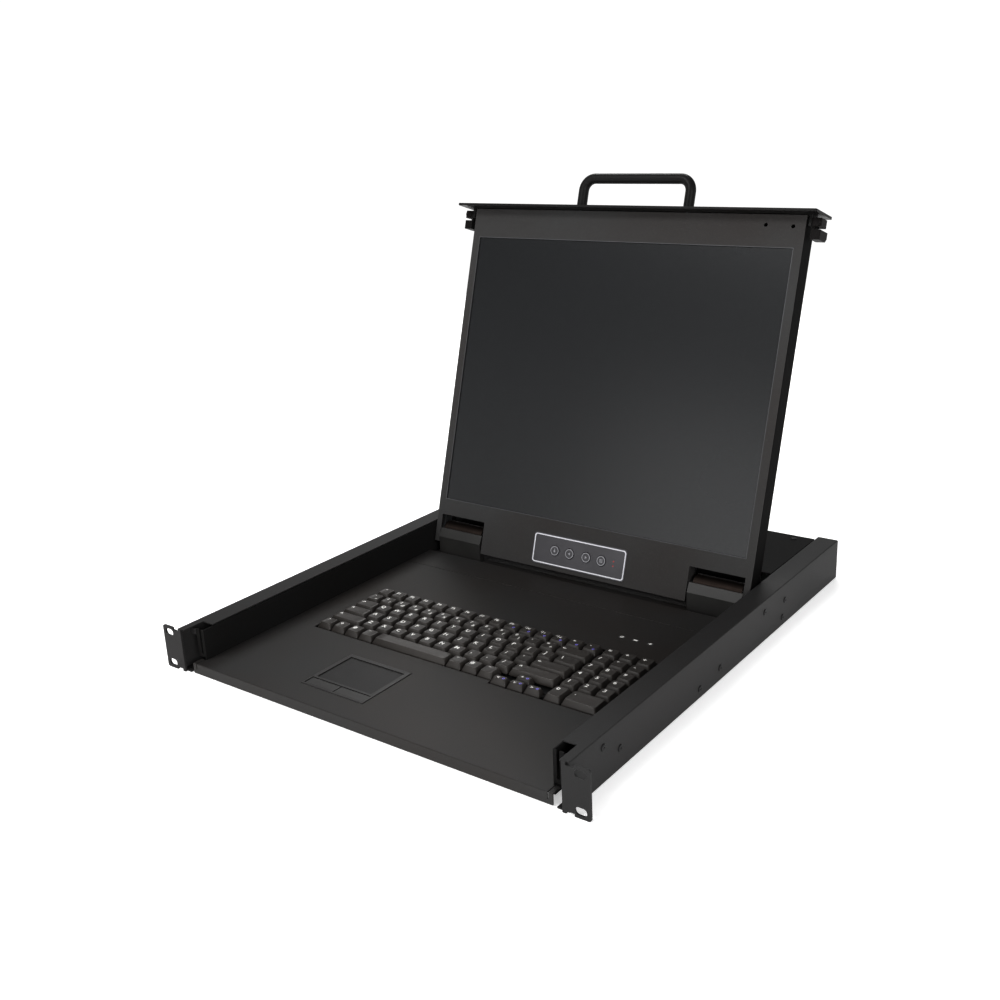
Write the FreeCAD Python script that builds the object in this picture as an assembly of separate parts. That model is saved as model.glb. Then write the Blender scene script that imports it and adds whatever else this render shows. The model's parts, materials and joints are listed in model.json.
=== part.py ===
import FreeCAD, Part
import math
import os

# Rack-mounted KVM console: a one-unit drawer with a folding flat screen, a keyboard and a
# touchpad, on telescopic slides between two rails.  All lengths are in millimetres.
# +X is the user's right, +Y runs back into the rack and +Z is up.  The functions below count
# Z from the underside of the rack ears; save() lowers everything by half a unit, so that the
# origin is the centre of the four mounting slots, on the front face of the ears.

# ---- rack standard -------------------------------------------------------------------------
UNIT_H = 43.66
RACK_HALF_W = 241.3
SLOT_SPACING_X = 465.1
SLOT_SPACING_Z = 31.75
SLOT_LENGTH = 11.0
SLOT_R = 3.5

# ---- fixed rails ---------------------------------------------------------------------------
SHEET = 1.2
RAIL_X = 222.0
RAIL_Y0 = 2.0
RAIL_Y1 = 526.0
RAIL_Z0 = 0.3
RAIL_Z1 = 43.3
RAIL_TOP_INNER = 200.2
RAIL_NOTCH_INNER = 213.4
RAIL_NOTCH_Y = 26.0
RAIL_BOTTOM_INNER = 210.0
EAR_T = 2.0
EAR_INNER = 216.0
EAR_FLANGE_Y = 84.0
EAR_RELIEF = 2.4
EAR_RELIEF_X0 = 219.4
EAR_RELIEF_X1 = 227.0
CATCH_Y = 13.2
CATCH_INNER = 210.3
CATCH_Z0 = 35.0
CATCH_Z1 = 40.5
EAR_SCREWS = [(49.0, 32.0), (74.0, 19.0)]
SLIDE_SCREWS = [(209.0, 9.5), (248.0, 13.0), (342.0, 31.0), (384.0, 9.5), (389.0, 26.0)]
SCREW_R = 2.0
SCREW_HEAD_R = 3.4
SCREW_HEAD_T = 0.8
TIE_Y0 = 490.0
TIE_Y1 = 524.0

# ---- telescopic slides ---------------------------------------------------------------------
SLIDE_T = 1.4
SLIDE_Z = 22.0
OUTER_HALF_H = 16.5
OUTER_Y0 = 86.0
OUTER_Y1 = 520.0
OUTER_TIP = 209.0
MIDDLE_HALF_H = 11.8
MIDDLE_Y0 = 90.0
MIDDLE_Y1 = 500.0
MIDDLE_WEB = 215.6
MIDDLE_TIP = 206.0
INNER_HALF_H = 7.1
INNER_Y0 = 30.0
INNER_Y1 = 480.0
INNER_TIP = 213.0
BALL_R = 1.6
BALL_HOLE_R = 1.75
BALL_PITCH = 18.0
CAGE_T = 0.6
CAGE_HALF_W = 2.3
OUTER_BALL_X = 212.5
INNER_BALL_X = 209.0
OUTER_CAGE_Y = (200.0, 385.0)
INNER_CAGE_Y = (204.0, 366.0)

# ---- drawer --------------------------------------------------------------------------------
DRAWER_X = 200.7
DRAWER_Z0 = 2.2
DRAWER_Y0 = 13.6
DRAWER_Y1 = 519.0
WALL_TOP = 41.5
WING_X = 209.7
WING_Z0 = 13.0
WING_SLOT = (202.8, 205.6)
WING_SLOT_Z = 16.2
PANEL_TOP = 11.0
PANEL_HALF_W = 199.2
PANEL_FRONT_HALF_W = 206.0
PANEL_Y0 = 2.4
PANEL_WIDE_Y = 13.0
PANEL_Y1 = 307.0
LIP_Z0 = 0.8
LIP_GROOVE_X = 201.4
SEAM = 0.9
TROUGH_Y0 = 347.0
TROUGH_Y1 = 396.6
TROUGH_FLOOR = 5.6
COVER_Y0 = 397.0
COVER_TOP = 43.2
COVER_SIDE_DROP = 9.0
COVER_NOTCH_X = 188.0
COVER_NOTCH_DEPTH = 9.0
BOARD_X = (-62.0, 190.0)
BOARD_Y0 = 404.0
BOARD_Z = 9.0
BOARD_T = 1.6
CHIPS = [(-20.0, 430.0, 9.0), (40.0, 440.0, 14.0), (100.0, 432.0, 11.0),
         (155.0, 440.0, 9.0), (60.0, 478.0, 7.0)]
CHIP_T = 2.2
CAPACITOR_X = (-45.0, -32.0, 130.0, 145.0)
CAPACITOR_Y = 470.0
CAPACITOR_R = 4.0
CAPACITOR_H = 9.0
SUPPLY_X = (-192.0, -76.0)
SUPPLY_Y = (404.0, 494.0)
SUPPLY_TOP = 38.0

# ---- keyboard and touchpad -----------------------------------------------------------------
KEY_PITCH_X = 18.4
KEY_PITCH_Y = 17.3
KEYS_X0 = -163.0
KEYS_Y0 = 124.0
KEY_GAP = 1.4
KEY_TAPER = 1.6
KEY_Z0 = 9.6
KEY_Z1 = 15.6
KEY_FRONT_SHIFT = 5.0
KEYPAD_X0 = 115.8
KEYBOARD_MARGIN = 1.5
KEYBOARD_BASE_TOP = 6.2
MEMBRANE_T = 0.6
FUNCTION_ROW = [1.0] * 15
NUMBER_ROW = [1.0] * 13 + [2.0]
TOP_LETTER_ROW = [1.5] + [1.0] * 12 + [1.5]
HOME_ROW = [1.75] + [1.0] * 11 + [2.25]
LOWER_LETTER_ROW = [2.25] + [1.0] * 10 + [2.75]
BOTTOM_LEFT_KEYS = [1.0] * 4
SPACE_UNITS = 5.0
BOTTOM_RIGHT_KEYS = [1.0] * 3
PAD_X0 = -88.0
PAD_X1 = -11.6
PAD_Y0 = 28.0
PAD_Y1 = 95.6
PAD_RIM = 5.0
PAD_BUTTON_Y1 = 42.5
PAD_RIM_TOP = 11.7
PAD_SURFACE = 10.6
PAD_BUTTON_TOP = 11.3
LAMP_X = [112.0, 127.0, 143.0]
LAMP_Y = 261.0
LAMP_SIZE = (6.0, 4.0)

# ---- screen --------------------------------------------------------------------------------
# The screen is drawn in its own frame: u runs along +X, p up the screen from the hinge axis
# and q out of the screen's face.  tilt() stands it up on the hinge axis, leaning back.
HINGE_Y = 372.0
HINGE_Z = 31.0
LEAN = 16.9
FACE_Q = 13.5
BACK_Q = -10.5
SCREEN_HALF_W = 197.5
BODY_P0 = 17.6
BODY_P1 = 369.6
TONGUE_HALF_W = 129.8
TONGUE_P0 = -18.4
TONGUE_BACK_Q = -4.5
LEG_X0 = 191.0
ACTIVE_HALF_W = 188.2
ACTIVE_P0 = 36.6
ACTIVE_P1 = 337.7
GLASS_BORDER = 4.0
GLASS_T = 1.1
PANEL_FRONT_Q = 11.0
PANEL_BACK_Q = -1.5
BAR_HALF_W = 212.5
BAR_P0 = 370.2
BAR_P1 = 372.6
BAR_Q0 = -12.2
BAR_Q1 = 30.2
HANDLE_U = 4.5
HANDLE_SPAN = 128.0
HANDLE_R = 5.4
HANDLE_RISE = 32.0
HANDLE_BEND = 13.0
HANDLE_Q = 9.0
OSD_U0 = -60.0
OSD_U1 = 58.0
OSD_P0 = -14.0
OSD_P1 = 20.4
OSD_T = 0.5
OSD_BUTTON_U = [-31.0, -12.0, 9.0, 28.0]
OSD_BUTTON_P = 3.4
OSD_BUTTON_R = 5.6
OSD_BUTTON_HOLE = 6.0
OSD_LED_U = 43.0
OSD_LED_P = [5.6, 0.6]
BAR_HOLES = [(157.0, 359.4), (185.0, 358.6)]

# ---- hinge ---------------------------------------------------------------------------------
BARREL_X0 = 134.5
BARREL_X1 = 188.0
BARREL_R = 10.5
BARREL_POST = (16.0, 6.0)
PIN_R = 4.0
PIN_CLEARANCE = 0.05
PIN_X0 = 125.0
PIN_X1 = 197.0
ARM_T = 3.5
ARM_X0 = (125.1, 191.2)
ARM_LENGTH = 55.0
ARM_HALF_Q = 6.0
ARM_EYE_R = 8.0
HINGE_COVER_X0 = 131.6
HINGE_COVER_X1 = 190.4
HINGE_COVER_T = 1.4
HINGE_COVER_Y = (355.0, 361.4)
HINGE_COVER_BEND = 27.0
HINGE_COVER_RIDGE = (360.2, 36.2)

# ---- latches -------------------------------------------------------------------------------
LATCH_X0 = 203.2
LATCH_X1 = 212.6
LATCH_WEB = (203.2, 205.2)
LATCH_Q0 = -0.5
LATCH_HOOK_Q0 = -6.0
LATCH_Q1 = 13.0
LATCH_P0 = 347.0
LATCH_GAP_P0 = 356.5
LATCH_GAP_P1 = 359.1
LATCH_P1 = 367.4
LATCH_NOSE = 4.0
LATCH_TRAVEL = 3.0
LATCH_PEG_P = (361.0, 365.6)
LATCH_PEG_Q = (4.8, 7.8)
LATCH_PEG_X1 = 210.6
LATCH_PEG_GAP = 0.1
LATCH_KNOB_P = 363.3
LATCH_KNOB_R = 3.6
LATCH_KNOB_T = 1.6
CHEEK_X0 = 200.0
CHEEK_X1 = 202.6
CHEEK_P0 = 359.4

# ---- rear sockets --------------------------------------------------------------------------
PORT_COUNT = 8
PORT_X0 = -40.0
PORT_PITCH = 31.0
PORT_Z = 14.5
INLET_X = -165.0
INLET_Z = 22.0
INLET_BLADES = [(-7.0, -2.0), (0.0, 2.5), (7.0, -2.0)]
SWITCH_X = -125.0
SWITCH_TILT = 9.0
SWITCH_PIVOT_Y = 515.0
SWITCH_PIVOT_R = 1.2
SWITCH_HALF_W = 5.5
SWITCH_WELL = (5.75, 10.4)
SWITCH_HOUSING = (7.2, 11.8)
SWITCH_RIM = (9.0, 13.5)


def box(x0, x1, y0, y1, z0, z1):
    return Part.makeBox(x1 - x0, y1 - y0, z1 - z0, FreeCAD.Vector(x0, y0, z0))


def rod_x(x0, x1, y, z, r):
    return Part.makeCylinder(r, x1 - x0, FreeCAD.Vector(x0, y, z), FreeCAD.Vector(1, 0, 0))


def rod_y(x, y0, y1, z, r):
    return Part.makeCylinder(r, y1 - y0, FreeCAD.Vector(x, y0, z), FreeCAD.Vector(0, 1, 0))


def rod_z(x, y, z0, z1, r):
    return Part.makeCylinder(r, z1 - z0, FreeCAD.Vector(x, y, z0), FreeCAD.Vector(0, 0, 1))


def prism_along_x(points, x0, x1):
    """A solid between two X values whose outline is a list of (y, z) points."""
    corners = [FreeCAD.Vector(x0, y, z) for y, z in points]
    outline = Part.makePolygon(corners + corners[:1])
    return Part.Face(outline).extrude(FreeCAD.Vector(x1 - x0, 0, 0))


def prism_along_y(points, y0, y1):
    """A solid between two Y values whose outline is a list of (x, z) points."""
    corners = [FreeCAD.Vector(x, y0, z) for x, z in points]
    outline = Part.makePolygon(corners + corners[:1])
    return Part.Face(outline).extrude(FreeCAD.Vector(0, y1 - y0, 0))


def mirrored(shape):
    """The left-hand copy of a right-hand piece."""
    return shape.mirror(FreeCAD.Vector(0, 0, 0), FreeCAD.Vector(1, 0, 0))


def pair(shape):
    """A right-hand piece and its left-hand copy, as separate solids."""
    return Part.makeCompound([shape, mirrored(shape)])


def fuse(shapes):
    return shapes[0].fuse(shapes[1:]).removeSplitter()


def round_edges(shape, radius, wanted):
    """Fillets the edges whose middle satisfies the given test."""
    edges = [edge for edge in shape.Edges if wanted(edge.CenterOfMass)]
    return shape.makeFillet(radius, edges)


def tilt(shape):
    """Moves a piece from the screen's own frame to its place on the hinge axis."""
    turn = FreeCAD.Rotation(FreeCAD.Vector(1, 0, 0), 90.0 - LEAN)
    moved = shape.copy()
    moved.Placement = FreeCAD.Placement(FreeCAD.Vector(0, HINGE_Y, HINGE_Z), turn)
    return moved


def save(name, shape):
    """Writes one sub-part, with the origin at half the unit's height."""
    placed = shape.copy()
    placed.translate(FreeCAD.Vector(0, 0, -UNIT_H / 2.0))
    placed.exportStep("parts/" + name + ".step")


def save_on_screen(name, shape):
    """Writes one sub-part that was drawn in the screen's own frame."""
    save(name, Part.makeCompound([tilt(solid) for solid in shape.Solids]))


# ---- fixed rails ---------------------------------------------------------------------------

def outer_rail():
    wall = box(RAIL_X - SHEET, RAIL_X, RAIL_Y0, RAIL_Y1, RAIL_Z0, RAIL_Z1)
    top = box(RAIL_TOP_INNER, RAIL_X, RAIL_Y0, RAIL_Y1, RAIL_Z1 - SHEET, RAIL_Z1)
    bottom = box(RAIL_BOTTOM_INNER, RAIL_X, RAIL_Y0, RAIL_Y1, RAIL_Z0, RAIL_Z0 + SHEET)
    rail = fuse([wall, top, bottom])
    rail = rail.cut(box(0, RAIL_NOTCH_INNER, 0, RAIL_NOTCH_Y, RAIL_Z1 - 3 * SHEET, UNIT_H))
    rail = round_edges(rail, 1.0, lambda c: c.x > RAIL_X - 0.01 and RAIL_Y0 + 1 < c.y < RAIL_Y1 - 1)
    for y, z in EAR_SCREWS + SLIDE_SCREWS:
        rail = rail.cut(rod_x(RAIL_X - SHEET - 1, RAIL_X + 1, y, z, SCREW_R + 0.1))
    return rail


def mounting_slot(x, z):
    half = SLOT_LENGTH / 2.0 - SLOT_R
    middle = box(x - half, x + half, -1, EAR_T + 1, z - SLOT_R, z + SLOT_R)
    ends = [rod_y(x + side * half, -1, EAR_T + 1, z, SLOT_R) for side in (-1, 1)]
    return fuse([middle] + ends)


def rack_ear():
    plate = box(EAR_INNER, RACK_HALF_W, 0, EAR_T, 0, UNIT_H)
    plate = round_edges(plate, 2.0, lambda c: c.x > RACK_HALF_W - 0.01 and abs(c.y - EAR_T / 2) < 0.1)
    flange_x1 = RAIL_X - SHEET
    flange = box(flange_x1 - EAR_T, flange_x1, EAR_T - 1, EAR_FLANGE_Y, 3, RAIL_Z1 - SHEET - 0.8)
    catch = box(CATCH_INNER, flange_x1 - EAR_T + 1, CATCH_Y, CATCH_Y + EAR_T, CATCH_Z0, CATCH_Z1)
    ear = fuse([plate, flange, catch])
    for z0 in (-1.0, UNIT_H - EAR_RELIEF):
        ear = ear.cut(box(EAR_RELIEF_X0, EAR_RELIEF_X1, -1, EAR_T + 1, z0, z0 + EAR_RELIEF + 1))
    for side in (-1, 1):
        ear = ear.cut(mounting_slot(SLOT_SPACING_X / 2, UNIT_H / 2 + side * SLOT_SPACING_Z / 2))
    for y, z in EAR_SCREWS:
        ear = ear.cut(rod_x(flange_x1 - EAR_T - 1, flange_x1 + 1, y, z, SCREW_R + 0.1))
    return ear


def rail_screw(y, z, depth):
    shank = rod_x(RAIL_X - depth, RAIL_X, y, z, SCREW_R)
    head = Part.makeCone(SCREW_HEAD_R, SCREW_HEAD_R - 0.6, SCREW_HEAD_T,
                         FreeCAD.Vector(RAIL_X, y, z), FreeCAD.Vector(1, 0, 0))
    recess = rod_x(RAIL_X + 0.3, RAIL_X + 2, y, z, 1.0)
    return fuse([shank, head]).cut(recess)


def rail_screws():
    screws = [rail_screw(y, z, SHEET + EAR_T) for y, z in EAR_SCREWS]
    screws += [rail_screw(y, z, SHEET + SLIDE_T) for y, z in SLIDE_SCREWS]
    return Part.makeCompound(screws + [mirrored(screw) for screw in screws])


def rear_tie_strip():
    strip = box(-RAIL_BOTTOM_INNER, RAIL_BOTTOM_INNER, TIE_Y0, TIE_Y1, RAIL_Z0, RAIL_Z0 + SHEET)
    for x in (-150.0, -50.0, 50.0, 150.0):
        strip = strip.cut(rod_z(x, (TIE_Y0 + TIE_Y1) / 2, -1, 4, 6.0))
    return strip


# ---- telescopic slides ---------------------------------------------------------------------

def channel(web_x, tip_x, half_h, y0, y1):
    """A C-shaped slide member whose web is at web_x and whose flanges end at tip_x."""
    toward = 1.0 if tip_x > web_x else -1.0
    inner_web = web_x + toward * SLIDE_T
    x0, x1 = sorted((web_x, tip_x))
    whole = box(x0, x1, y0, y1, SLIDE_Z - half_h, SLIDE_Z + half_h)
    a, b = sorted((inner_web, tip_x + toward))
    hollow = box(a, b, y0 - 1, y1 + 1, SLIDE_Z - half_h + SLIDE_T, SLIDE_Z + half_h - SLIDE_T)
    return whole.cut(hollow)


def slide_outer_member():
    member = channel(RAIL_X - SHEET, OUTER_TIP, OUTER_HALF_H, OUTER_Y0, OUTER_Y1)
    for y, z in SLIDE_SCREWS:
        member = member.cut(rod_x(RAIL_X - SHEET - SLIDE_T, RAIL_X, y, z, SCREW_R + 0.1))
    return member


def slide_middle_member():
    return channel(MIDDLE_WEB, MIDDLE_TIP, MIDDLE_HALF_H, MIDDLE_Y0, MIDDLE_Y1)


def slide_inner_member():
    return channel(DRAWER_X, INNER_TIP, INNER_HALF_H, INNER_Y0, INNER_Y1)


def ball_positions(y_range):
    count = int((y_range[1] - y_range[0] - BALL_PITCH) / BALL_PITCH)
    return [y_range[0] + BALL_PITCH * (i + 1) for i in range(count)]


def ball_cages(x, y_range, drop):
    """The four cage strips between two slide members, drop away from the slide's middle."""
    strips = []
    for side in (-1, 1):
        z = SLIDE_Z + side * drop
        strip = box(x - CAGE_HALF_W, x + CAGE_HALF_W, y_range[0], y_range[1],
                    z - CAGE_T / 2, z + CAGE_T / 2)
        for y in ball_positions(y_range):
            strip = strip.cut(rod_z(x, y, z - 1, z + 1, BALL_HOLE_R))
        strips.append(strip)
    return Part.makeCompound(strips + [mirrored(strip) for strip in strips])


def balls(x, y_range, drop):
    spheres = []
    for side_x in (-1, 1):
        for side_z in (-1, 1):
            for y in ball_positions(y_range):
                centre = FreeCAD.Vector(side_x * x, y, SLIDE_Z + side_z * drop)
                spheres.append(Part.makeSphere(BALL_R, centre))
    return Part.makeCompound(spheres)


# ---- drawer --------------------------------------------------------------------------------

def chassis_wall():
    wall = box(DRAWER_X - SHEET, DRAWER_X, DRAWER_Y0, DRAWER_Y1, DRAWER_Z0, WALL_TOP)
    wing = box(DRAWER_X - SHEET, WING_X, DRAWER_Y0, DRAWER_Y0 + SHEET, WING_Z0, WALL_TOP)
    slot = box(WING_SLOT[0], WING_SLOT[1], 0, DRAWER_Y0 + 5, WING_SLOT_Z, UNIT_H)
    return fuse([wall, wing]).cut(slot)


def standoff(x, y):
    return rod_z(x, y, DRAWER_Z0 + SHEET - 0.5, BOARD_Z, 3.0)


def drawer_chassis():
    floor = box(-DRAWER_X, DRAWER_X, DRAWER_Y0, DRAWER_Y1, DRAWER_Z0, DRAWER_Z0 + SHEET)
    wall = chassis_wall()
    posts = [standoff(x, y) for x in (-50.0, 60.0, 175.0) for y in (412.0, 500.0)]
    return fuse([floor, wall, mirrored(wall)] + posts)


def keyboard_hole(margin):
    """The opening for all the keys, with the given margin around them."""
    x1 = KEYPAD_X0 + 3 * KEY_PITCH_X + margin
    back = KEYS_Y0 + 6 * KEY_PITCH_Y + margin
    split = KEYS_X0 + 12 * KEY_PITCH_X
    hole = box(KEYS_X0 - margin, x1, KEYS_Y0 - margin, back, 0, UNIT_H)
    front = box(split, x1, KEYS_Y0 - KEY_FRONT_SHIFT - margin, back, 0, UNIT_H)
    return fuse([hole, front])


def keyboard_panel():
    z0 = PANEL_TOP - SHEET
    top = box(-PANEL_HALF_W, PANEL_HALF_W, PANEL_Y0, PANEL_Y1, z0, PANEL_TOP)
    front = box(-PANEL_FRONT_HALF_W, PANEL_FRONT_HALF_W, PANEL_Y0, PANEL_WIDE_Y, z0, PANEL_TOP)
    lip = box(-PANEL_FRONT_HALF_W, PANEL_FRONT_HALF_W, PANEL_Y0, PANEL_Y0 + SHEET, LIP_Z0, PANEL_TOP)
    rear_lip = box(-PANEL_HALF_W, PANEL_HALF_W, PANEL_Y1 - SHEET, PANEL_Y1, z0 - 4, PANEL_TOP)
    panel = fuse([top, front, lip, rear_lip])
    panel = round_edges(panel, 1.0, lambda c: c.y < PANEL_Y0 + 0.01 and c.z > PANEL_TOP - 0.01)
    for side in (-1, 1):
        x = side * LIP_GROOVE_X
        panel = panel.cut(box(x - 0.5, x + 0.5, 0, PANEL_WIDE_Y + 1, PANEL_TOP - 6, UNIT_H))
    panel = panel.cut(keyboard_hole(KEYBOARD_MARGIN))
    panel = panel.cut(box(PAD_X0, PAD_X1, PAD_Y0, PAD_Y1, 0, UNIT_H))
    for x in LAMP_X:
        panel = panel.cut(lamp(x, 0.1))
    return panel


def lamp(x, grow):
    half_w = LAMP_SIZE[0] / 2 + grow
    half_h = LAMP_SIZE[1] / 2 + grow
    return box(x - half_w, x + half_w, LAMP_Y - half_h, LAMP_Y + half_h, PANEL_TOP - 4, PANEL_TOP + 0.15)


def hinge_deck():
    y0 = PANEL_Y1 + SEAM
    z0 = PANEL_TOP - SHEET
    w = PANEL_HALF_W
    shelf = box(-w, w, y0, TROUGH_Y0, z0, PANEL_TOP)
    front_lip = box(-w, w, y0, y0 + SHEET, z0 - 4, PANEL_TOP)
    riser = box(-w, w, TROUGH_Y0 - SHEET, TROUGH_Y0, TROUGH_FLOOR - SHEET, PANEL_TOP)
    floor = box(-w, w, TROUGH_Y0 - SHEET, TROUGH_Y1, TROUGH_FLOOR - SHEET, TROUGH_FLOOR)
    back = box(-w, w, TROUGH_Y1 - SHEET, TROUGH_Y1, TROUGH_FLOOR - SHEET, PANEL_TOP)
    deck = fuse([shelf, front_lip, riser, floor, back])
    for side in (-1, 1):
        middle = side * (BARREL_X0 + BARREL_X1) / 2
        half_x, half_y = [size + 1.0 for size in BARREL_POST]
        deck = deck.cut(box(middle - half_x, middle + half_x, HINGE_Y - half_y, HINGE_Y + half_y,
                            0, TROUGH_FLOOR + 1))
    return deck


def rear_cover():
    w = PANEL_HALF_W
    z0 = COVER_TOP - SHEET
    top = box(-w, w, COVER_Y0, DRAWER_Y1 - SHEET, z0, COVER_TOP)
    front = box(-w, w, COVER_Y0, COVER_Y0 + SHEET, TROUGH_FLOOR, COVER_TOP)
    sides = [box(x, x + SHEET, COVER_Y0, DRAWER_Y1 - SHEET, z0 - COVER_SIDE_DROP, COVER_TOP)
             for x in (-w, w - SHEET)]
    cover = fuse([top, front] + sides)
    for side in (-1, 1):
        x0, x1 = sorted((side * COVER_NOTCH_X, side * (w + 1)))
        cover = cover.cut(box(x0, x1, COVER_Y0 - 1, COVER_Y0 + COVER_NOTCH_DEPTH, z0 - 6, UNIT_H))
    for x, y in cover_screw_places():
        cover = cover.cut(rod_z(x, y, z0 - 1, COVER_TOP + 1, SCREW_R + 0.1))
    return cover


def cover_screw_places():
    return [(x, y) for x in (-180.0, 0.0, 180.0) for y in (412.0, 508.0)]


def cover_screws():
    screws = []
    for x, y in cover_screw_places():
        shank = rod_z(x, y, COVER_TOP - 5, COVER_TOP, SCREW_R)
        head = Part.makeCone(SCREW_HEAD_R, SCREW_HEAD_R - 0.6, SCREW_HEAD_T,
                             FreeCAD.Vector(x, y, COVER_TOP))
        slot = box(x - 2, x + 2, y - 0.3, y + 0.3, COVER_TOP + 0.3, UNIT_H + 1)
        screws.append(fuse([shank, head]).cut(slot))
    return Part.makeCompound(screws)


# ---- rear electronics ----------------------------------------------------------------------

def port_places():
    return [PORT_X0 + PORT_PITCH * i for i in range(PORT_COUNT)]


def d_outline(x, half_top, half_bottom, half_h, y0, y1):
    """The D-shaped shell of a video socket, wide side up."""
    points = [(x - half_top, PORT_Z + half_h), (x + half_top, PORT_Z + half_h),
              (x + half_bottom, PORT_Z - half_h), (x - half_bottom, PORT_Z - half_h)]
    return prism_along_y(points, y0, y1)


def port_socket(x):
    flange = box(x - 15.2, x + 15.2, DRAWER_Y1, DRAWER_Y1 + 0.8, PORT_Z - 6.2, PORT_Z + 6.2)
    shell = d_outline(x, 8.5, 7.6, 4.2, DRAWER_Y1, DRAWER_Y1 + 6.0)
    body = box(x - 9.8, x + 9.8, DRAWER_Y1 - 10, DRAWER_Y1, BOARD_Z + BOARD_T, PORT_Z + 5.0)
    socket = fuse([flange, shell, body])
    return socket.cut(d_outline(x, 7.8, 6.9, 3.5, DRAWER_Y1 - 1, DRAWER_Y1 + 7.0))


def inlet_body(grow):
    return box(INLET_X - 14 - grow, INLET_X + 14 + grow, DRAWER_Y1 - 18, DRAWER_Y1 + 1,
               INLET_Z - 10 - grow, INLET_Z + 10 + grow)


def power_inlet():
    flange = box(INLET_X - 17, INLET_X + 17, DRAWER_Y1, DRAWER_Y1 + 2.0, INLET_Z - 12.5, INLET_Z + 12.5)
    inlet = fuse([inlet_body(0), flange])
    cavity = box(INLET_X - 11.9, INLET_X + 11.9, DRAWER_Y1 - 14, DRAWER_Y1 + 5, INLET_Z - 8, INLET_Z + 8)
    inlet = inlet.cut(cavity)
    blades = [box(INLET_X + dx - 1, INLET_X + dx + 1, DRAWER_Y1 - 16, DRAWER_Y1 - 4,
                  INLET_Z + dz - 2, INLET_Z + dz + 2) for dx, dz in INLET_BLADES]
    return fuse([inlet] + blades)


def switch_block(half_sizes, y0, y1):
    half_x, half_z = half_sizes
    return box(SWITCH_X - half_x, SWITCH_X + half_x, y0, y1, INLET_Z - half_z, INLET_Z + half_z)


def switch_housing():
    """The well that the rocker stands in, with a rim outside the panel and two pivot holes."""
    housing = fuse([switch_block(SWITCH_HOUSING, DRAWER_Y1 - 14, DRAWER_Y1 + 1),
                    switch_block(SWITCH_RIM, DRAWER_Y1, DRAWER_Y1 + 1.4)])
    housing = housing.cut(switch_block(SWITCH_WELL, DRAWER_Y1 - 12.6, DRAWER_Y1 + 3))
    pivot = rod_x(SWITCH_X - 8, SWITCH_X + 8, SWITCH_PIVOT_Y, INLET_Z, SWITCH_PIVOT_R + PIN_CLEARANCE)
    return housing.cut(pivot)


def power_switch():
    """The rocker and its pivot stubs, tilted to one of its two stops."""
    face_y = DRAWER_Y1 + 2.6
    points = [(DRAWER_Y1 - 6, INLET_Z - 6.5), (face_y, INLET_Z - 8.5), (face_y - 1.4, INLET_Z),
              (face_y, INLET_Z + 8.5), (DRAWER_Y1 - 6, INLET_Z + 6.5)]
    rocker = prism_along_x(points, SWITCH_X - SWITCH_HALF_W, SWITCH_X + SWITCH_HALF_W)
    rocker.rotate(FreeCAD.Vector(0, SWITCH_PIVOT_Y, INLET_Z), FreeCAD.Vector(1, 0, 0), -SWITCH_TILT)
    stub_end = SWITCH_HOUSING[0] - 0.2
    stubs = rod_x(SWITCH_X - stub_end, SWITCH_X + stub_end, SWITCH_PIVOT_Y, INLET_Z, SWITCH_PIVOT_R)
    return fuse([rocker, stubs])


def rear_panel():
    w = PANEL_HALF_W
    panel = box(-w, w, DRAWER_Y1 - SHEET, DRAWER_Y1, DRAWER_Z0 + SHEET, WALL_TOP)
    for x in port_places():
        panel = panel.cut(box(x - 10, x + 10, DRAWER_Y1 - 3, DRAWER_Y1 + 1, BOARD_Z, PORT_Z + 5.2))
    panel = panel.cut(inlet_body(0.1))
    half_x, half_z = SWITCH_HOUSING
    panel = panel.cut(switch_block((half_x + 0.1, half_z + 0.1), DRAWER_Y1 - 3, DRAWER_Y1 + 1))
    vents = [box(x, x + 2.4, DRAWER_Y1 - 3, DRAWER_Y1 + 1, 27, 37)
             for x in [-30.0 + 6.0 * i for i in range(36)]]
    return panel.cut(Part.makeCompound(vents))


def main_board():
    """The switching board, with its square chips and round capacitors."""
    top = BOARD_Z + BOARD_T
    board = box(BOARD_X[0], BOARD_X[1], BOARD_Y0, DRAWER_Y1 - SHEET - 0.3, BOARD_Z, top)
    chips = [box(x - half, x + half, y - half, y + half, top, top + CHIP_T) for x, y, half in CHIPS]
    capacitors = [rod_z(x, CAPACITOR_Y, top, top + CAPACITOR_H, CAPACITOR_R) for x in CAPACITOR_X]
    return Part.makeCompound([board] + chips + capacitors)


def power_supply():
    """A closed sheet case with a row of vents across its top."""
    t = SHEET
    x0, x1 = SUPPLY_X
    y0, y1 = SUPPLY_Y
    z0 = DRAWER_Z0 + SHEET
    case = box(x0, x1, y0, y1, z0, SUPPLY_TOP)
    case = case.cut(box(x0 + t, x1 - t, y0 + t, y1 - t, z0 + t, SUPPLY_TOP - t))
    vents = [box(x0 + 8.0 * i, x0 + 8.0 * i + 4, y0 + 10, y1 - 10, SUPPLY_TOP - 2, SUPPLY_TOP + 1)
             for i in range(1, 14)]
    return case.cut(Part.makeCompound(vents))


# ---- keyboard ------------------------------------------------------------------------------

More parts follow.
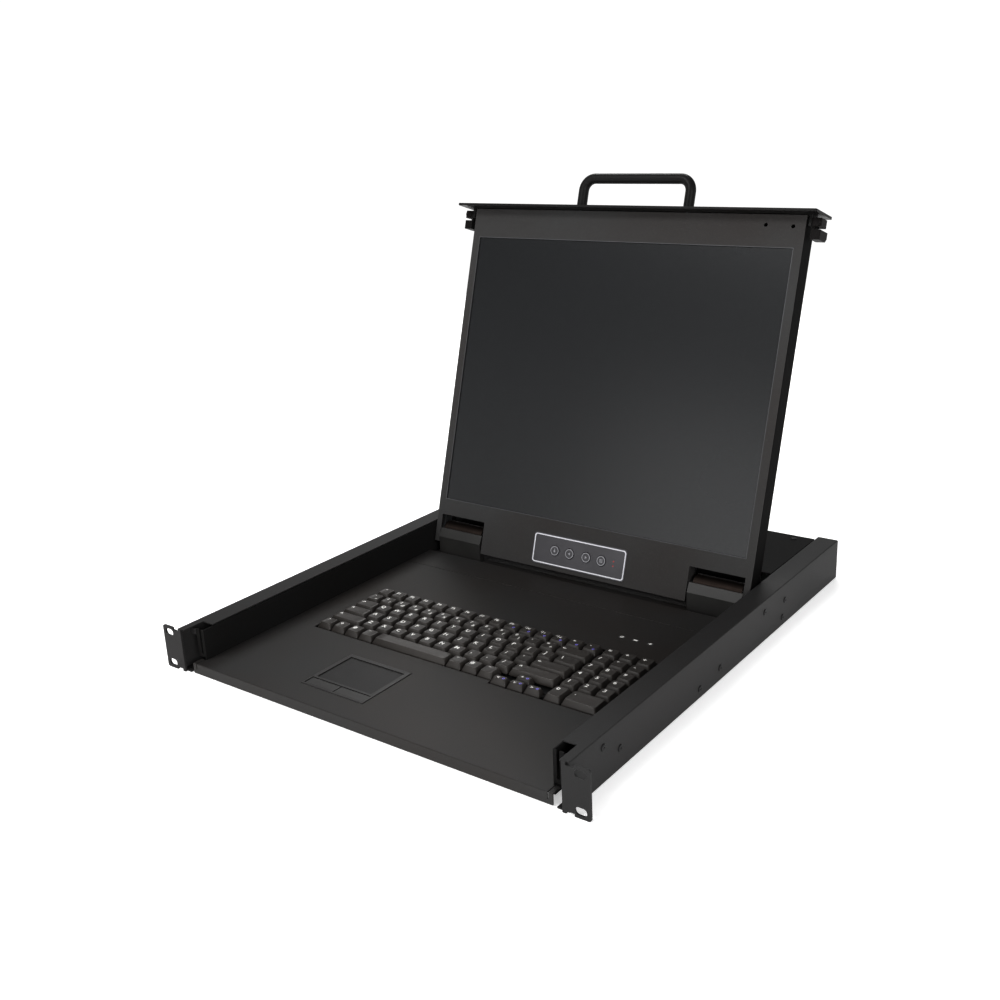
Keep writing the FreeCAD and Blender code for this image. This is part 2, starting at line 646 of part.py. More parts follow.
def keycap(x0, x1, y0, y1):
    """A keycap that narrows upwards, most of all at its front and back."""
    g = KEY_GAP / 2
    t = KEY_TAPER
    bottom = [(x0 + g, y0 + g), (x1 - g, y0 + g), (x1 - g, y1 - g), (x0 + g, y1 - g)]
    top = [(x0 + g + t, y0 + g + t * 1.6), (x1 - g - t, y0 + g + t * 1.6),
           (x1 - g - t, y1 - g - t * 0.5), (x0 + g + t, y1 - g - t * 0.5)]
    skirt_z = PANEL_TOP - 0.5
    wires = []
    for points, z in ((bottom, skirt_z), (top, KEY_Z1)):
        corners = [FreeCAD.Vector(x, y, z) for x, y in points]
        wires.append(Part.makePolygon(corners + corners[:1]))
    cap = Part.makeLoft(wires, True, True)
    skirt = box(x0 + g, x1 - g, y0 + g, y1 - g, KEY_Z0, skirt_z)
    return cap.fuse(skirt)


def key_row(widths, first_unit, y0, y1):
    """A row of keycaps with the given widths in key units, from first_unit to the right."""
    caps = []
    x = KEYS_X0 + first_unit * KEY_PITCH_X
    for width in widths:
        caps.append(keycap(x, x + width * KEY_PITCH_X, y0, y1))
        x += width * KEY_PITCH_X
    return caps


def full_row(widths, index):
    y0 = KEYS_Y0 + index * KEY_PITCH_Y
    return Part.makeCompound(key_row(widths, 0.0, y0, y0 + KEY_PITCH_Y))


def bottom_row_keys():
    y1 = KEYS_Y0 + KEY_PITCH_Y
    right = len(BOTTOM_LEFT_KEYS) + SPACE_UNITS
    return Part.makeCompound(key_row(BOTTOM_LEFT_KEYS, 0.0, KEYS_Y0, y1)
                             + key_row(BOTTOM_RIGHT_KEYS, right, KEYS_Y0, y1))


def space_bar():
    return key_row([SPACE_UNITS], len(BOTTOM_LEFT_KEYS), KEYS_Y0, KEYS_Y0 + KEY_PITCH_Y)[0]


def arrow_keys():
    front = KEYS_Y0 - KEY_FRONT_SHIFT
    back = KEYS_Y0 + KEY_PITCH_Y
    middle = (front + back) / 2
    return Part.makeCompound(key_row([1.0] * 3, 12.0, front, middle)
                             + key_row([1.0], 13.0, middle, back))


def keypad_keys():
    first = (KEYPAD_X0 - KEYS_X0) / KEY_PITCH_X
    caps = key_row([1.0, 2.0], first, KEYS_Y0 - KEY_FRONT_SHIFT, KEYS_Y0 + KEY_PITCH_Y)
    for index in range(1, 6):
        y0 = KEYS_Y0 + index * KEY_PITCH_Y
        caps += key_row([1.0] * 3, first, y0, y0 + KEY_PITCH_Y)
    return Part.makeCompound(caps)


def keyboard_base():
    block = keyboard_hole(KEYBOARD_MARGIN - 0.2)
    return block.common(box(-300, 300, 0, 400, DRAWER_Z0 + SHEET, KEYBOARD_BASE_TOP))


def key_membrane():
    block = keyboard_hole(KEYBOARD_MARGIN - 1.0)
    z0 = KEYBOARD_BASE_TOP
    return block.common(box(-300, 300, 0, 400, z0, z0 + MEMBRANE_T))


# ---- touchpad ------------------------------------------------------------------------------

def touchpad():
    g = 0.2
    block = box(PAD_X0 + g, PAD_X1 - g, PAD_Y0 + g, PAD_Y1 - g, 6.0, PAD_RIM_TOP)
    block = round_edges(block, 1.0, lambda c: c.z > PAD_RIM_TOP - 0.01)
    pad = box(PAD_X0 + PAD_RIM, PAD_X1 - PAD_RIM, PAD_BUTTON_Y1 + 2.5, PAD_Y1 - PAD_RIM, PAD_SURFACE, 20)
    well = box(PAD_X0 + 2.5, PAD_X1 - 2.5, PAD_Y0 + 2.5, PAD_BUTTON_Y1, 7.5, 20)
    return block.cut(pad).cut(well)


def touchpad_button(side):
    g = 0.35
    middle = (PAD_X0 + PAD_X1) / 2
    x0, x1 = (PAD_X0 + 2.5, middle) if side < 0 else (middle, PAD_X1 - 2.5)
    key = box(x0 + g, x1 - g, PAD_Y0 + 2.5 + g, PAD_BUTTON_Y1 - g, 8.7, PAD_BUTTON_TOP)
    return round_edges(key, 0.6, lambda c: c.z > PAD_BUTTON_TOP - 0.01)


# ---- hinge ---------------------------------------------------------------------------------

def hinge_barrel():
    barrel = rod_x(BARREL_X0, BARREL_X1, HINGE_Y, HINGE_Z, BARREL_R)
    middle = (BARREL_X0 + BARREL_X1) / 2
    half_x, half_y = BARREL_POST
    post = box(middle - half_x, middle + half_x, HINGE_Y - half_y, HINGE_Y + half_y,
               DRAWER_Z0 + SHEET, HINGE_Z)
    bore = rod_x(BARREL_X0 - 1, BARREL_X1 + 1, HINGE_Y, HINGE_Z, PIN_R + PIN_CLEARANCE)
    return fuse([barrel, post]).cut(bore)


def hinge_cover():
    """The moulded cover in front of a barrel, open at the back and below, with a sloped top."""
    t = HINGE_COVER_T
    z0 = TROUGH_FLOOR
    front, back = HINGE_COVER_Y
    ridge_y, ridge_z = HINGE_COVER_RIDGE
    outside = [(front, z0), (front, HINGE_COVER_BEND), (ridge_y, ridge_z), (back, ridge_z), (back, z0)]
    inside = [(front + t, z0 - 1), (front + t, HINGE_COVER_BEND - 0.3 * t),
              (ridge_y + 0.6 * t, ridge_z - t), (back + 1, ridge_z - t), (back + 1, z0 - 1)]
    block = prism_along_x(outside, HINGE_COVER_X0, HINGE_COVER_X1)
    return block.cut(prism_along_x(inside, HINGE_COVER_X0 + t, HINGE_COVER_X1 - t))


def hinge_pin():
    return rod_x(PIN_X0, PIN_X1, 0.0, 0.0, PIN_R)


def hinge_arms():
    """Two steel arms beside each barrel, from the pin up into the screen."""
    arms = []
    for x0 in ARM_X0:
        eye = rod_x(x0, x0 + ARM_T, 0.0, 0.0, ARM_EYE_R)
        strap = box(x0, x0 + ARM_T, 0, ARM_LENGTH, -ARM_HALF_Q, ARM_HALF_Q)
        arms.append(fuse([eye, strap]).cut(rod_x(x0 - 1, x0 + ARM_T + 1, 0, 0, PIN_R + 0.01)))
    return Part.makeCompound(arms + [mirrored(arm) for arm in arms])


def arm_clearance(grow, p0, p1):
    """The room that the four arms need in the pieces around them."""
    rooms = []
    for x0 in ARM_X0:
        room = box(x0 - grow, x0 + ARM_T + grow, p0, p1, -ARM_HALF_Q - grow, ARM_HALF_Q + grow)
        rooms += [room, mirrored(room)]
    return Part.makeCompound(rooms)


# ---- screen --------------------------------------------------------------------------------

def osd_button_hole(u):
    return rod_z(u, OSD_BUTTON_P, FACE_Q - 3, FACE_Q + 3, OSD_BUTTON_HOLE)


def display_bezel():
    w = SCREEN_HALF_W
    t = SHEET
    face = [box(-w, w, BODY_P0, BODY_P1, FACE_Q - t, FACE_Q),
            box(-TONGUE_HALF_W, TONGUE_HALF_W, TONGUE_P0, BODY_P0 + 1, FACE_Q - t, FACE_Q)]
    rims = [box(-TONGUE_HALF_W, TONGUE_HALF_W, TONGUE_P0, TONGUE_P0 + t, 0, FACE_Q),
            box(-w, w, BODY_P1 - t, BODY_P1, 0, FACE_Q)]
    for side in (-1, 1):
        x0, x1 = sorted((side * (w - t), side * w))
        rims.append(box(x0, x1, TONGUE_P0 + 4, BODY_P1, 0, FACE_Q))
        x0, x1 = sorted((side * LEG_X0, side * w))
        rims.append(box(x0, x1, TONGUE_P0 + 4, BODY_P0 + 1, FACE_Q - t, FACE_Q))
        x0, x1 = sorted((side * (TONGUE_HALF_W - t), side * TONGUE_HALF_W))
        rims.append(box(x0, x1, TONGUE_P0, BODY_P0, 0, FACE_Q))
    bezel = fuse(face + rims)
    window = box(-ACTIVE_HALF_W, ACTIVE_HALF_W, ACTIVE_P0, ACTIVE_P1, 0, FACE_Q + 1)
    bezel = bezel.cut(window)
    for side in (-1, 1):
        bezel = bezel.cut(rod_x(side * 160 - 40, side * 160 + 40, 0, 0, PIN_R + 0.01))
    for u in OSD_BUTTON_U:
        bezel = bezel.cut(osd_button_hole(u))
    for p in OSD_LED_P:
        bezel = bezel.cut(rod_z(OSD_LED_U, p, FACE_Q - 3, FACE_Q + 3, 1.1))
    for u, p in BAR_HOLES:
        bezel = bezel.cut(rod_z(u, p, FACE_Q - 3, FACE_Q + 1, 2.0))
    return bezel


def display_back_cover():
    w = SCREEN_HALF_W - SHEET - 0.1
    t = SHEET
    front = FACE_Q - t
    outer = box(-w, w, BODY_P0, BODY_P1 - t - 0.1, BACK_Q, front)
    inner = box(-w + t, w - t, BODY_P0 + t, BODY_P1 - 2 * t - 0.1, BACK_Q + t, front + 1)
    shell = outer.cut(inner)
    half = TONGUE_HALF_W - t - 0.1
    tongue = box(-half, half, TONGUE_P0 + t + 0.1, BODY_P0 + 2 * t, TONGUE_BACK_Q, TONGUE_BACK_Q + t)
    opening = box(-half + t, half - t, BODY_P0 - 1, BODY_P0 + 2 * t, TONGUE_BACK_Q + t, front + 1)
    cover = fuse([shell.cut(opening), tongue])
    cover = cover.cut(arm_clearance(0.2, -ARM_EYE_R - 1, BODY_P0 + 2 * t))
    vents = []
    for row in range(5):
        for column in range(22):
            u = -157.5 + 15.0 * column
            p = 270.0 + 12.0 * row
            vents.append(box(u - 5, u + 5, p - 1.5, p + 1.5, BACK_Q - 1, BACK_Q + 2 * t))
    return cover.cut(Part.makeCompound(vents))


def screen_glass():
    b = GLASS_BORDER
    front = FACE_Q - SHEET
    return box(-ACTIVE_HALF_W - b, ACTIVE_HALF_W + b, ACTIVE_P0 - b, ACTIVE_P1 + b,
               front - GLASS_T, front)


def lcd_panel():
    b = GLASS_BORDER
    w = ACTIVE_HALF_W + b
    front = FACE_Q - SHEET - GLASS_T
    module = box(-w, w, ACTIVE_P0 - b, ACTIVE_P1 + 9, PANEL_BACK_Q, front)
    return module.cut(arm_clearance(0.4, 0, ARM_LENGTH + 1))


def display_controller_board():
    return box(-90, 90, 80, 180, BACK_Q + SHEET + 2.5, BACK_Q + SHEET + 4.1)


def osd_panel():
    panel = box(OSD_U0, OSD_U1, OSD_P0, OSD_P1, FACE_Q, FACE_Q + OSD_T)
    corners = (OSD_P0, OSD_P1)
    panel = round_edges(panel, 4.0, lambda c: abs(c.z - FACE_Q - OSD_T / 2) < 0.1
                        and min(abs(c.y - p) for p in corners) < 0.1 and abs(c.x) > 50)
    for u in OSD_BUTTON_U:
        panel = panel.cut(osd_button_hole(u))
    for p in OSD_LED_P:
        panel = panel.cut(rod_z(OSD_LED_U, p, FACE_Q - 3, FACE_Q + 3, 1.1))
    return panel


def osd_button(u):
    top = FACE_Q + OSD_T + 0.6
    cap = rod_z(u, OSD_BUTTON_P, FACE_Q - 2.4, top, OSD_BUTTON_R)
    return round_edges(cap, 0.4, lambda c: c.z > top - 0.01)


def osd_leds():
    top = FACE_Q + OSD_T + 0.1
    return Part.makeCompound([rod_z(OSD_LED_U, p, FACE_Q - 2.0, top, 1.0) for p in OSD_LED_P])


# ---- front bar, handle and latches ----------------------------------------------------------

def front_bar():
    """The one-unit front plate that closes the drawer, with a cheek and a guide peg at each end."""
    w = BAR_HALF_W
    plate = box(-w, w, BAR_P0, BAR_P1, BAR_Q0, BAR_Q1)
    middle = (BAR_P0 + BAR_P1) / 2
    plate = round_edges(plate, 2.0, lambda c: abs(abs(c.x) - w) < 0.01 and abs(c.y - middle) < 0.1)
    foot = box(-SCREEN_HALF_W + 6, SCREEN_HALF_W - 6, BODY_P1 - 0.5, BAR_P0 + 0.5, -8.0, FACE_Q - 3)
    foot = foot.cut(box(-300, 300, 0, BODY_P1, -20, 20))
    pieces = [plate, foot]
    for side in (-1, 1):
        x0, x1 = sorted((side * CHEEK_X0, side * CHEEK_X1))
        pieces.append(box(x0, x1, CHEEK_P0, BAR_P0 + 0.5, LATCH_Q0, LATCH_Q1))
        x0, x1 = sorted((side * (CHEEK_X1 - 0.5), side * LATCH_PEG_X1))
        pieces.append(box(x0, x1, LATCH_PEG_P[0], LATCH_PEG_P[1], LATCH_PEG_Q[0], LATCH_PEG_Q[1]))
    bar = fuse(pieces)
    for u in (HANDLE_U - HANDLE_SPAN / 2, HANDLE_U + HANDLE_SPAN / 2):
        bar = bar.cut(rod_y(u, BAR_P0 - 5, BAR_P0 + 5, HANDLE_Q, SCREW_R + 0.1))
    return bar


def handle():
    """A round bar bent into a U, on two flat feet."""
    a = HANDLE_U - HANDLE_SPAN / 2
    b = HANDLE_U + HANDLE_SPAN / 2
    r = HANDLE_BEND
    base = BAR_P1 + 2.0
    top = BAR_P1 + HANDLE_RISE
    q = HANDLE_Q
    diagonal = r * (1 - math.sqrt(0.5))
    points = {
        "a0": FreeCAD.Vector(a, base, q), "a1": FreeCAD.Vector(a, top - r, q),
        "am": FreeCAD.Vector(a + diagonal, top - diagonal, q), "a2": FreeCAD.Vector(a + r, top, q),
        "b2": FreeCAD.Vector(b - r, top, q), "bm": FreeCAD.Vector(b - diagonal, top - diagonal, q),
        "b1": FreeCAD.Vector(b, top - r, q), "b0": FreeCAD.Vector(b, base, q),
    }
    path = Part.Wire([
        Part.LineSegment(points["a0"], points["a1"]).toShape(),
        Part.Arc(points["a1"], points["am"], points["a2"]).toShape(),
        Part.LineSegment(points["a2"], points["b2"]).toShape(),
        Part.Arc(points["b2"], points["bm"], points["b1"]).toShape(),
        Part.LineSegment(points["b1"], points["b0"]).toShape()])
    ring = Part.makeCircle(HANDLE_R, points["a0"], FreeCAD.Vector(0, 1, 0))
    bar = path.makePipeShell([Part.Wire([ring])], True, False)
    feet = [rod_y(u, BAR_P1, base + 0.2, q, HANDLE_R + 0.6) for u in (a, b)]
    grip = fuse([bar] + feet)
    for u in (a, b):
        grip = grip.cut(rod_y(u, BAR_P1 - 1, BAR_P1 + 13, q, SCREW_R + 0.1))
    return grip


def handle_screws():
    places = (HANDLE_U - HANDLE_SPAN / 2, HANDLE_U + HANDLE_SPAN / 2)
    return Part.makeCompound([rod_y(u, BAR_P0 - 0.2, BAR_P0 + 13.8, HANDLE_Q, SCREW_R) for u in places])


def latch():
    """A sliding latch: a front block with a knob, a hook block and the web between them.

    It slides along q on the guide peg of the front plate.  The back of the hook is sloped, so
    that it rides over the catch on the rack ear when the drawer is pushed home.
    """
    front = box(LATCH_X0, LATCH_X1, LATCH_GAP_P1, LATCH_P1, LATCH_Q0, LATCH_Q1)
    hook = box(LATCH_X0, LATCH_X1, LATCH_P0, LATCH_GAP_P0, LATCH_HOOK_Q0, LATCH_Q1)
    web = box(LATCH_WEB[0], LATCH_WEB[1], LATCH_GAP_P0 - 1, LATCH_GAP_P1 + 1, LATCH_Q0, LATCH_Q1 - 2)
    nose = [(LATCH_P0 - 1, LATCH_HOOK_Q0 - 1), (LATCH_P0 + LATCH_NOSE, LATCH_HOOK_Q0 - 1),
            (LATCH_P0 - 1, LATCH_HOOK_Q0 + LATCH_NOSE)]
    hook = hook.cut(prism_along_x(nose, LATCH_X0 - 1, LATCH_X1 + 1))
    body = fuse([front, hook, web])
    body = round_edges(body, 0.8, lambda c: c.x > LATCH_X1 - 0.01)
    middle = (LATCH_X0 + LATCH_X1) / 2
    knob = rod_z(middle, LATCH_KNOB_P, LATCH_Q1 - 0.5, LATCH_Q1 + LATCH_KNOB_T, LATCH_KNOB_R)
    gap = LATCH_PEG_GAP
    track = box(LATCH_X0 - 1, LATCH_PEG_X1 + gap, LATCH_PEG_P[0] - gap, LATCH_PEG_P[1] + gap,
                LATCH_PEG_Q[0] - LATCH_TRAVEL - gap, LATCH_PEG_Q[1] + gap)
    return fuse([body, knob]).cut(track)


def save_rails():
    rail = outer_rail()
    ear = rack_ear()
    save("right_outer_rail", rail)
    save("left_outer_rail", mirrored(rail))
    save("right_rack_ear", ear)
    save("left_rack_ear", mirrored(ear))
    save("rail_screws", rail_screws())
    save("rear_tie_strip", rear_tie_strip())


def save_slides():
    outer_drop = (OUTER_HALF_H - SLIDE_T + MIDDLE_HALF_H) / 2
    inner_drop = (MIDDLE_HALF_H - SLIDE_T + INNER_HALF_H) / 2
    save("slide_outer_members", pair(slide_outer_member()))
    save("slide_middle_members", pair(slide_middle_member()))
    save("slide_inner_members", pair(slide_inner_member()))
    save("outer_ball_cages", ball_cages(OUTER_BALL_X, OUTER_CAGE_Y, outer_drop))
    save("outer_slide_balls", balls(OUTER_BALL_X, OUTER_CAGE_Y, outer_drop))
    save("inner_ball_cages", ball_cages(INNER_BALL_X, INNER_CAGE_Y, inner_drop))
    save("inner_slide_balls", balls(INNER_BALL_X, INNER_CAGE_Y, inner_drop))


def save_drawer():
    save("drawer_chassis", drawer_chassis())
    save("keyboard_panel", keyboard_panel())
    save("hinge_deck", hinge_deck())
    save("rear_cover", rear_cover())
    save("cover_screws", cover_screws())
    save("rear_panel", rear_panel())
    save("main_board", main_board())
    save("power_supply", power_supply())
    save("power_inlet", Part.makeCompound([power_inlet(), switch_housing()]))
    save("power_switch", power_switch())
    save("kvm_port_sockets", Part.makeCompound([port_socket(x) for x in port_places()]))
    save("lock_indicator_lamps", Part.makeCompound([lamp(x, 0) for x in LAMP_X]))
    save("hinge_barrels", pair(hinge_barrel()))
    save("right_hinge_cover", hinge_cover())
    save("left_hinge_cover", mirrored(hinge_cover()))


def save_input_devices():
    save("keyboard_base", keyboard_base())
    save("key_membrane", key_membrane())
    save("function_keys", full_row(FUNCTION_ROW, 5))
    save("number_row_keys", full_row(NUMBER_ROW, 4))
    save("top_letter_keys", full_row(TOP_LETTER_ROW, 3))
    save("home_row_keys", full_row(HOME_ROW, 2))
    save("lower_letter_keys", full_row(LOWER_LETTER_ROW, 1))
    save("bottom_row_keys", bottom_row_keys())
    save("space_bar", space_bar())
    save("arrow_keys", arrow_keys())
    save("keypad_keys", keypad_keys())
    save("touchpad", touchpad())
    save("touchpad_left_button", touchpad_button(-1))
    save("touchpad_right_button", touchpad_button(1))


def save_screen():
    save_on_screen("display_bezel", display_bezel())
    save_on_screen("display_back_cover", display_back_cover())
    save_on_screen("screen_glass", screen_glass())
    save_on_screen("lcd_panel", lcd_panel())
    save_on_screen("display_controller_board", display_controller_board())
    save_on_screen("hinge_pins", pair(hinge_pin()))
    save_on_screen("hinge_arms", hinge_arms())
    save_on_screen("osd_panel", osd_panel())
    save_on_screen("osd_leds", osd_leds())
    for number, u in enumerate(OSD_BUTTON_U, start=1):
        save_on_screen("osd_button_" + str(number), osd_button(u))
    save_on_screen("front_bar", front_bar())
    save_on_screen("handle", handle())
    save_on_screen("handle_screws", handle_screws())
    save_on_screen("right_latch", latch())
    save_on_screen("left_latch", mirrored(latch()))


os.makedirs("parts", exist_ok=True)
save_rails()
save_slides()
save_drawer()
save_input_devices()
save_screen()
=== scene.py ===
import json
import math

import bmesh
import bpy
from mathutils import Matrix, Vector


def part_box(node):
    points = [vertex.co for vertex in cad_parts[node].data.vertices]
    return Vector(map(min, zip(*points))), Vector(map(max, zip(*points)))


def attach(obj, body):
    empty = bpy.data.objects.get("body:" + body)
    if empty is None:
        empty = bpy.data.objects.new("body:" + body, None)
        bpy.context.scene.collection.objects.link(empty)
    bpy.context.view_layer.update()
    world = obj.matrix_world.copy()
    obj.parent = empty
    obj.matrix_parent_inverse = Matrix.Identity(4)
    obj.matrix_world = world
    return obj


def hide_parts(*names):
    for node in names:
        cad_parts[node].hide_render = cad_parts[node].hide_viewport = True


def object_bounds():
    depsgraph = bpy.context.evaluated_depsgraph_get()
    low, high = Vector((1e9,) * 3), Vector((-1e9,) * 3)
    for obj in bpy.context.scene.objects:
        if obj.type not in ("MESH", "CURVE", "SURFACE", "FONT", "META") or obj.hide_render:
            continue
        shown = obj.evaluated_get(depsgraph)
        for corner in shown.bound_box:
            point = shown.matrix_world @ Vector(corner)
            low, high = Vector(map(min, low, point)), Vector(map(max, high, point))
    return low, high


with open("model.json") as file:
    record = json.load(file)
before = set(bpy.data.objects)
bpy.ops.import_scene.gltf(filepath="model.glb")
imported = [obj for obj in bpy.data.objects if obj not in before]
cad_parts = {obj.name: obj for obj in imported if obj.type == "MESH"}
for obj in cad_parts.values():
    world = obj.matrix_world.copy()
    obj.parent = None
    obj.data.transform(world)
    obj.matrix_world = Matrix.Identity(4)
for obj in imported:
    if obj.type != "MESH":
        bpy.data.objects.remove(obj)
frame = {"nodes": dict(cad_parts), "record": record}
cad_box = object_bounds()

# Looks of the rack-mounted KVM console.  Lengths are in metres, in the CAD's own frame: +X is the
# user's right, +Y runs back into the rack and +Z is up.
MM = 0.001
NODES = frame["nodes"]
JOINTS = {joint["name"]: joint for joint in frame["record"]["behaviour"]["joints"]}

# The screen's own frame: x to the right, y up the screen from its hinge and z out of its face.
HINGE = Vector(JOINTS["display_fold"]["pos_m"])
CLOSING_ANGLE = math.radians(JOINTS["display_fold"]["range_deg"][1])
LEAN = CLOSING_ANGLE - math.pi / 2
SCREEN = Matrix.Translation(HINGE) @ Matrix.Rotation(math.pi / 2 - LEAN, 4, "X")

# Seen from behind, y still runs up the screen and z points away from its back.
BEHIND_SCREEN = SCREEN @ Matrix.Rotation(math.pi, 4, "Y")


# ---- geometry helpers ----------------------------------------------------------------------
INK_T = 0.08 * MM
SHARP_ANGLE = math.radians(38)
WELD_DISTANCE = 0.001 * MM


def corners_of(points):
    """Lowest and highest corner of the box round some points."""
    low = Vector([min(point[i] for point in points) for i in range(3)])
    high = Vector([max(point[i] for point in points) for i in range(3)])
    return low, high


def box_in(node, matrix):
    """Lowest and highest corner of a CAD node, measured in the frame that the matrix gives."""
    inverse = matrix.inverted()
    return corners_of([inverse @ vertex.co for vertex in NODES[node].data.vertices])


def solid_boxes(node):
    """(lowest, highest corner) of each separate solid of a CAD node, ordered along X, then Y."""
    bm = bmesh.new()
    bm.from_mesh(NODES[node].data)
    bmesh.ops.remove_doubles(bm, verts=bm.verts, dist=WELD_DISTANCE)
    unseen = set(bm.verts)
    boxes = []
    while unseen:
        stack = [unseen.pop()]
        island = []
        while stack:
            vertex = stack.pop()
            island.append(vertex.co.copy())
            for edge in vertex.link_edges:
                other = edge.other_vert(vertex)
                if other in unseen:
                    unseen.remove(other)
                    stack.append(other)
        boxes.append(corners_of(island))
    bm.free()
    return sorted(boxes, key=lambda box: (round(box[0].x, 5), round(box[0].y, 5)))


def add_piece(name, bm, body, material, matrix=None):
    """Makes a visible piece from a bmesh, lets it ride on a CAD body and names its finish."""
    if matrix is not None:
        bmesh.ops.transform(bm, matrix=matrix, verts=bm.verts)
    bmesh.ops.recalc_face_normals(bm, faces=bm.faces)
    mesh = bpy.data.meshes.new(name)
    bm.to_mesh(mesh)
    bm.free()
    mesh.materials.append(material)
    mesh.shade_smooth()
    mesh.set_sharp_from_angle(angle=SHARP_ANGLE)
    piece = bpy.data.objects.new(name, mesh)
    bpy.context.scene.collection.objects.link(piece)
    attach(piece, body)
    return piece


def bridge_rings(bm, rings):
    """Joins rings of equally many points into one skin, and closes its ends."""
    loops = [[bm.verts.new(point) for point in ring] for ring in rings]
    count = len(loops[0])
    for lower, upper in zip(loops, loops[1:]):
        for i in range(count):
            j = (i + 1) % count
            bm.faces.new((lower[i], lower[j], upper[j], upper[i]))
    bm.faces.new(list(reversed(loops[0])))
    bm.faces.new(loops[-1])


def rounded_outline(x0, x1, y0, y1, radius, steps=4):
    """Points round a rectangle with rounded corners, as (x, y)."""
    points = []
    corners = ((x1 - radius, y1 - radius, 0), (x0 + radius, y1 - radius, 1),
               (x0 + radius, y0 + radius, 2), (x1 - radius, y0 + radius, 3))
    for cx, cy, quarter in corners:
        for i in range(steps + 1):
            angle = (quarter + i / steps) * math.pi / 2
            points.append((cx + radius * math.cos(angle), cy + radius * math.sin(angle)))
    return points


def circle_points(cx, cy, radius, count):
    """Points round a circle, as (x, y)."""
    turn = 2 * math.pi / count
    return [(cx + radius * math.cos(i * turn), cy + radius * math.sin(i * turn)) for i in range(count)]


def add_plate(bm, outline, z0, z1):
    """A flat plate with the given outline."""
    bridge_rings(bm, [[Vector((x, y, z)) for x, y in outline] for z in (z0, z1)])


def add_band(bm, outer, inner, z0, z1):
    """A closed flat band between two outlines of equally many points, such as a frame line."""
    count = len(outer)
    levels = []
    for outline, z in ((outer, z0), (outer, z1), (inner, z1), (inner, z0)):
        levels.append([bm.verts.new((x, y, z)) for x, y in outline])
    for a, b in zip(levels, levels[1:] + levels[:1]):
        for i in range(count):
            j = (i + 1) % count
            bm.faces.new((a[i], a[j], b[j], b[i]))


def add_turned(bm, profile, centre, axis, count):
    """A turned solid with count sides: profile is a list of (distance along the axis, radius)."""
    turn = axis.normalized().to_track_quat("Z", "Y").to_matrix()
    rings = []
    for along, radius in profile:
        ring = [centre + turn @ Vector((x, y, along)) for x, y in circle_points(0, 0, radius, count)]
        rings.append(ring)
    bridge_rings(bm, rings)


def ring_mark(bm, cx, cy, outer, inner, z):
    """A printed ring."""
    outlines = [circle_points(cx, cy, radius, count=32) for radius in (outer, inner)]
    add_band(bm, *outlines, z, z + INK_T)


def bar_mark(bm, cx, cy, half_w, half_h, z):
    """A printed bar with rounded corners."""
    radius = 0.6 * min(half_w, half_h)
    outline = rounded_outline(cx - half_w, cx + half_w, cy - half_h, cy + half_h, radius)
    add_plate(bm, outline, z, z + INK_T)


def arrow_mark(bm, cx, cy, size, z):
    """A printed arrow that points to the front."""
    head = 0.2 * size
    stem = 0.4 * size
    right_half = [(size, head), (stem, head), (stem, size)]
    left_half = [(-x, y) for x, y in reversed(right_half)]
    outline = [(cx + x, cy + y) for x, y in [(0.0, -size)] + right_half + left_half]
    add_plate(bm, outline, z, z + INK_T)


# ---- material helpers ----------------------------------------------------------------------
COAT_EDGE = 0.5 * MM
PLASTIC_EDGE = 0.3 * MM
METAL_EDGE = 0.25 * MM
INK_ROUGHNESS = 0.5
EDGE_SAMPLES = 4

# The colour mixing node has one socket of each name for every data type, so they go by number.
MIX_FACTOR = 0
MIX_COLORS = (6, 7)
MIX_RESULT = 2


def new_material(name):
    """A new node material with its nodes, links, shader and object coordinates."""
    material = bpy.data.materials.new(name)
    material.use_nodes = True
    nodes = material.node_tree.nodes
    coordinates = nodes.new("ShaderNodeTexCoord").outputs["Object"]
    return material, nodes, material.node_tree.links, nodes["Principled BSDF"], coordinates


def shade(color, factor):
    """A colour made darker or paler."""
    return tuple(min(channel * factor, 1.0) for channel in color)


def noise(nodes, links, vector, scale, detail=3.0, roughness=0.5):
    """Cloudy noise between 0 and 1."""
    node = nodes.new("ShaderNodeTexNoise")
    node.inputs["Scale"].default_value = scale
    node.inputs["Detail"].default_value = detail
    node.inputs["Roughness"].default_value = roughness
    links.new(vector, node.inputs["Vector"])
    return node.outputs["Fac"]


def remap(nodes, links, value, low, high, from_low=0.3, from_high=0.7):
    """A value spread from one range to another, clamped at both ends."""
    node = nodes.new("ShaderNodeMapRange")
    node.inputs["From Min"].default_value = from_low
    node.inputs["From Max"].default_value = from_high
    node.inputs["To Min"].default_value = low
    node.inputs["To Max"].default_value = high
    links.new(value, node.inputs["Value"])
    return node.outputs["Result"]


def mix_colors(nodes, links, factor, first, second):
    """A colour between two colours or outputs, by a factor."""
    node = nodes.new("ShaderNodeMix")
    node.data_type = "RGBA"
    links.new(factor, node.inputs[MIX_FACTOR])
    for source, place in zip((first, second), MIX_COLORS):
        if isinstance(source, tuple):
            node.inputs[place].default_value = (*source, 1.0)
        else:
            links.new(source, node.inputs[place])
    return node.outputs[MIX_RESULT]


def add_bump(nodes, links, height, strength, distance, under=None):
    """The surface normal bumped by a height, on top of another normal if one is given."""
    node = nodes.new("ShaderNodeBump")
    node.inputs["Strength"].default_value = strength
    node.inputs["Distance"].default_value = distance
    links.new(height, node.inputs["Height"])
    if under is not None:
        links.new(under, node.inputs["Normal"])
    return node.outputs["Normal"]


def soft_edges(nodes, radius):
    """The surface normal with its sharp edges rounded off by the given radius."""
    node = nodes.new("ShaderNodeBevel")
    node.samples = EDGE_SAMPLES
    node.inputs["Radius"].default_value = radius
    return node.outputs["Normal"]


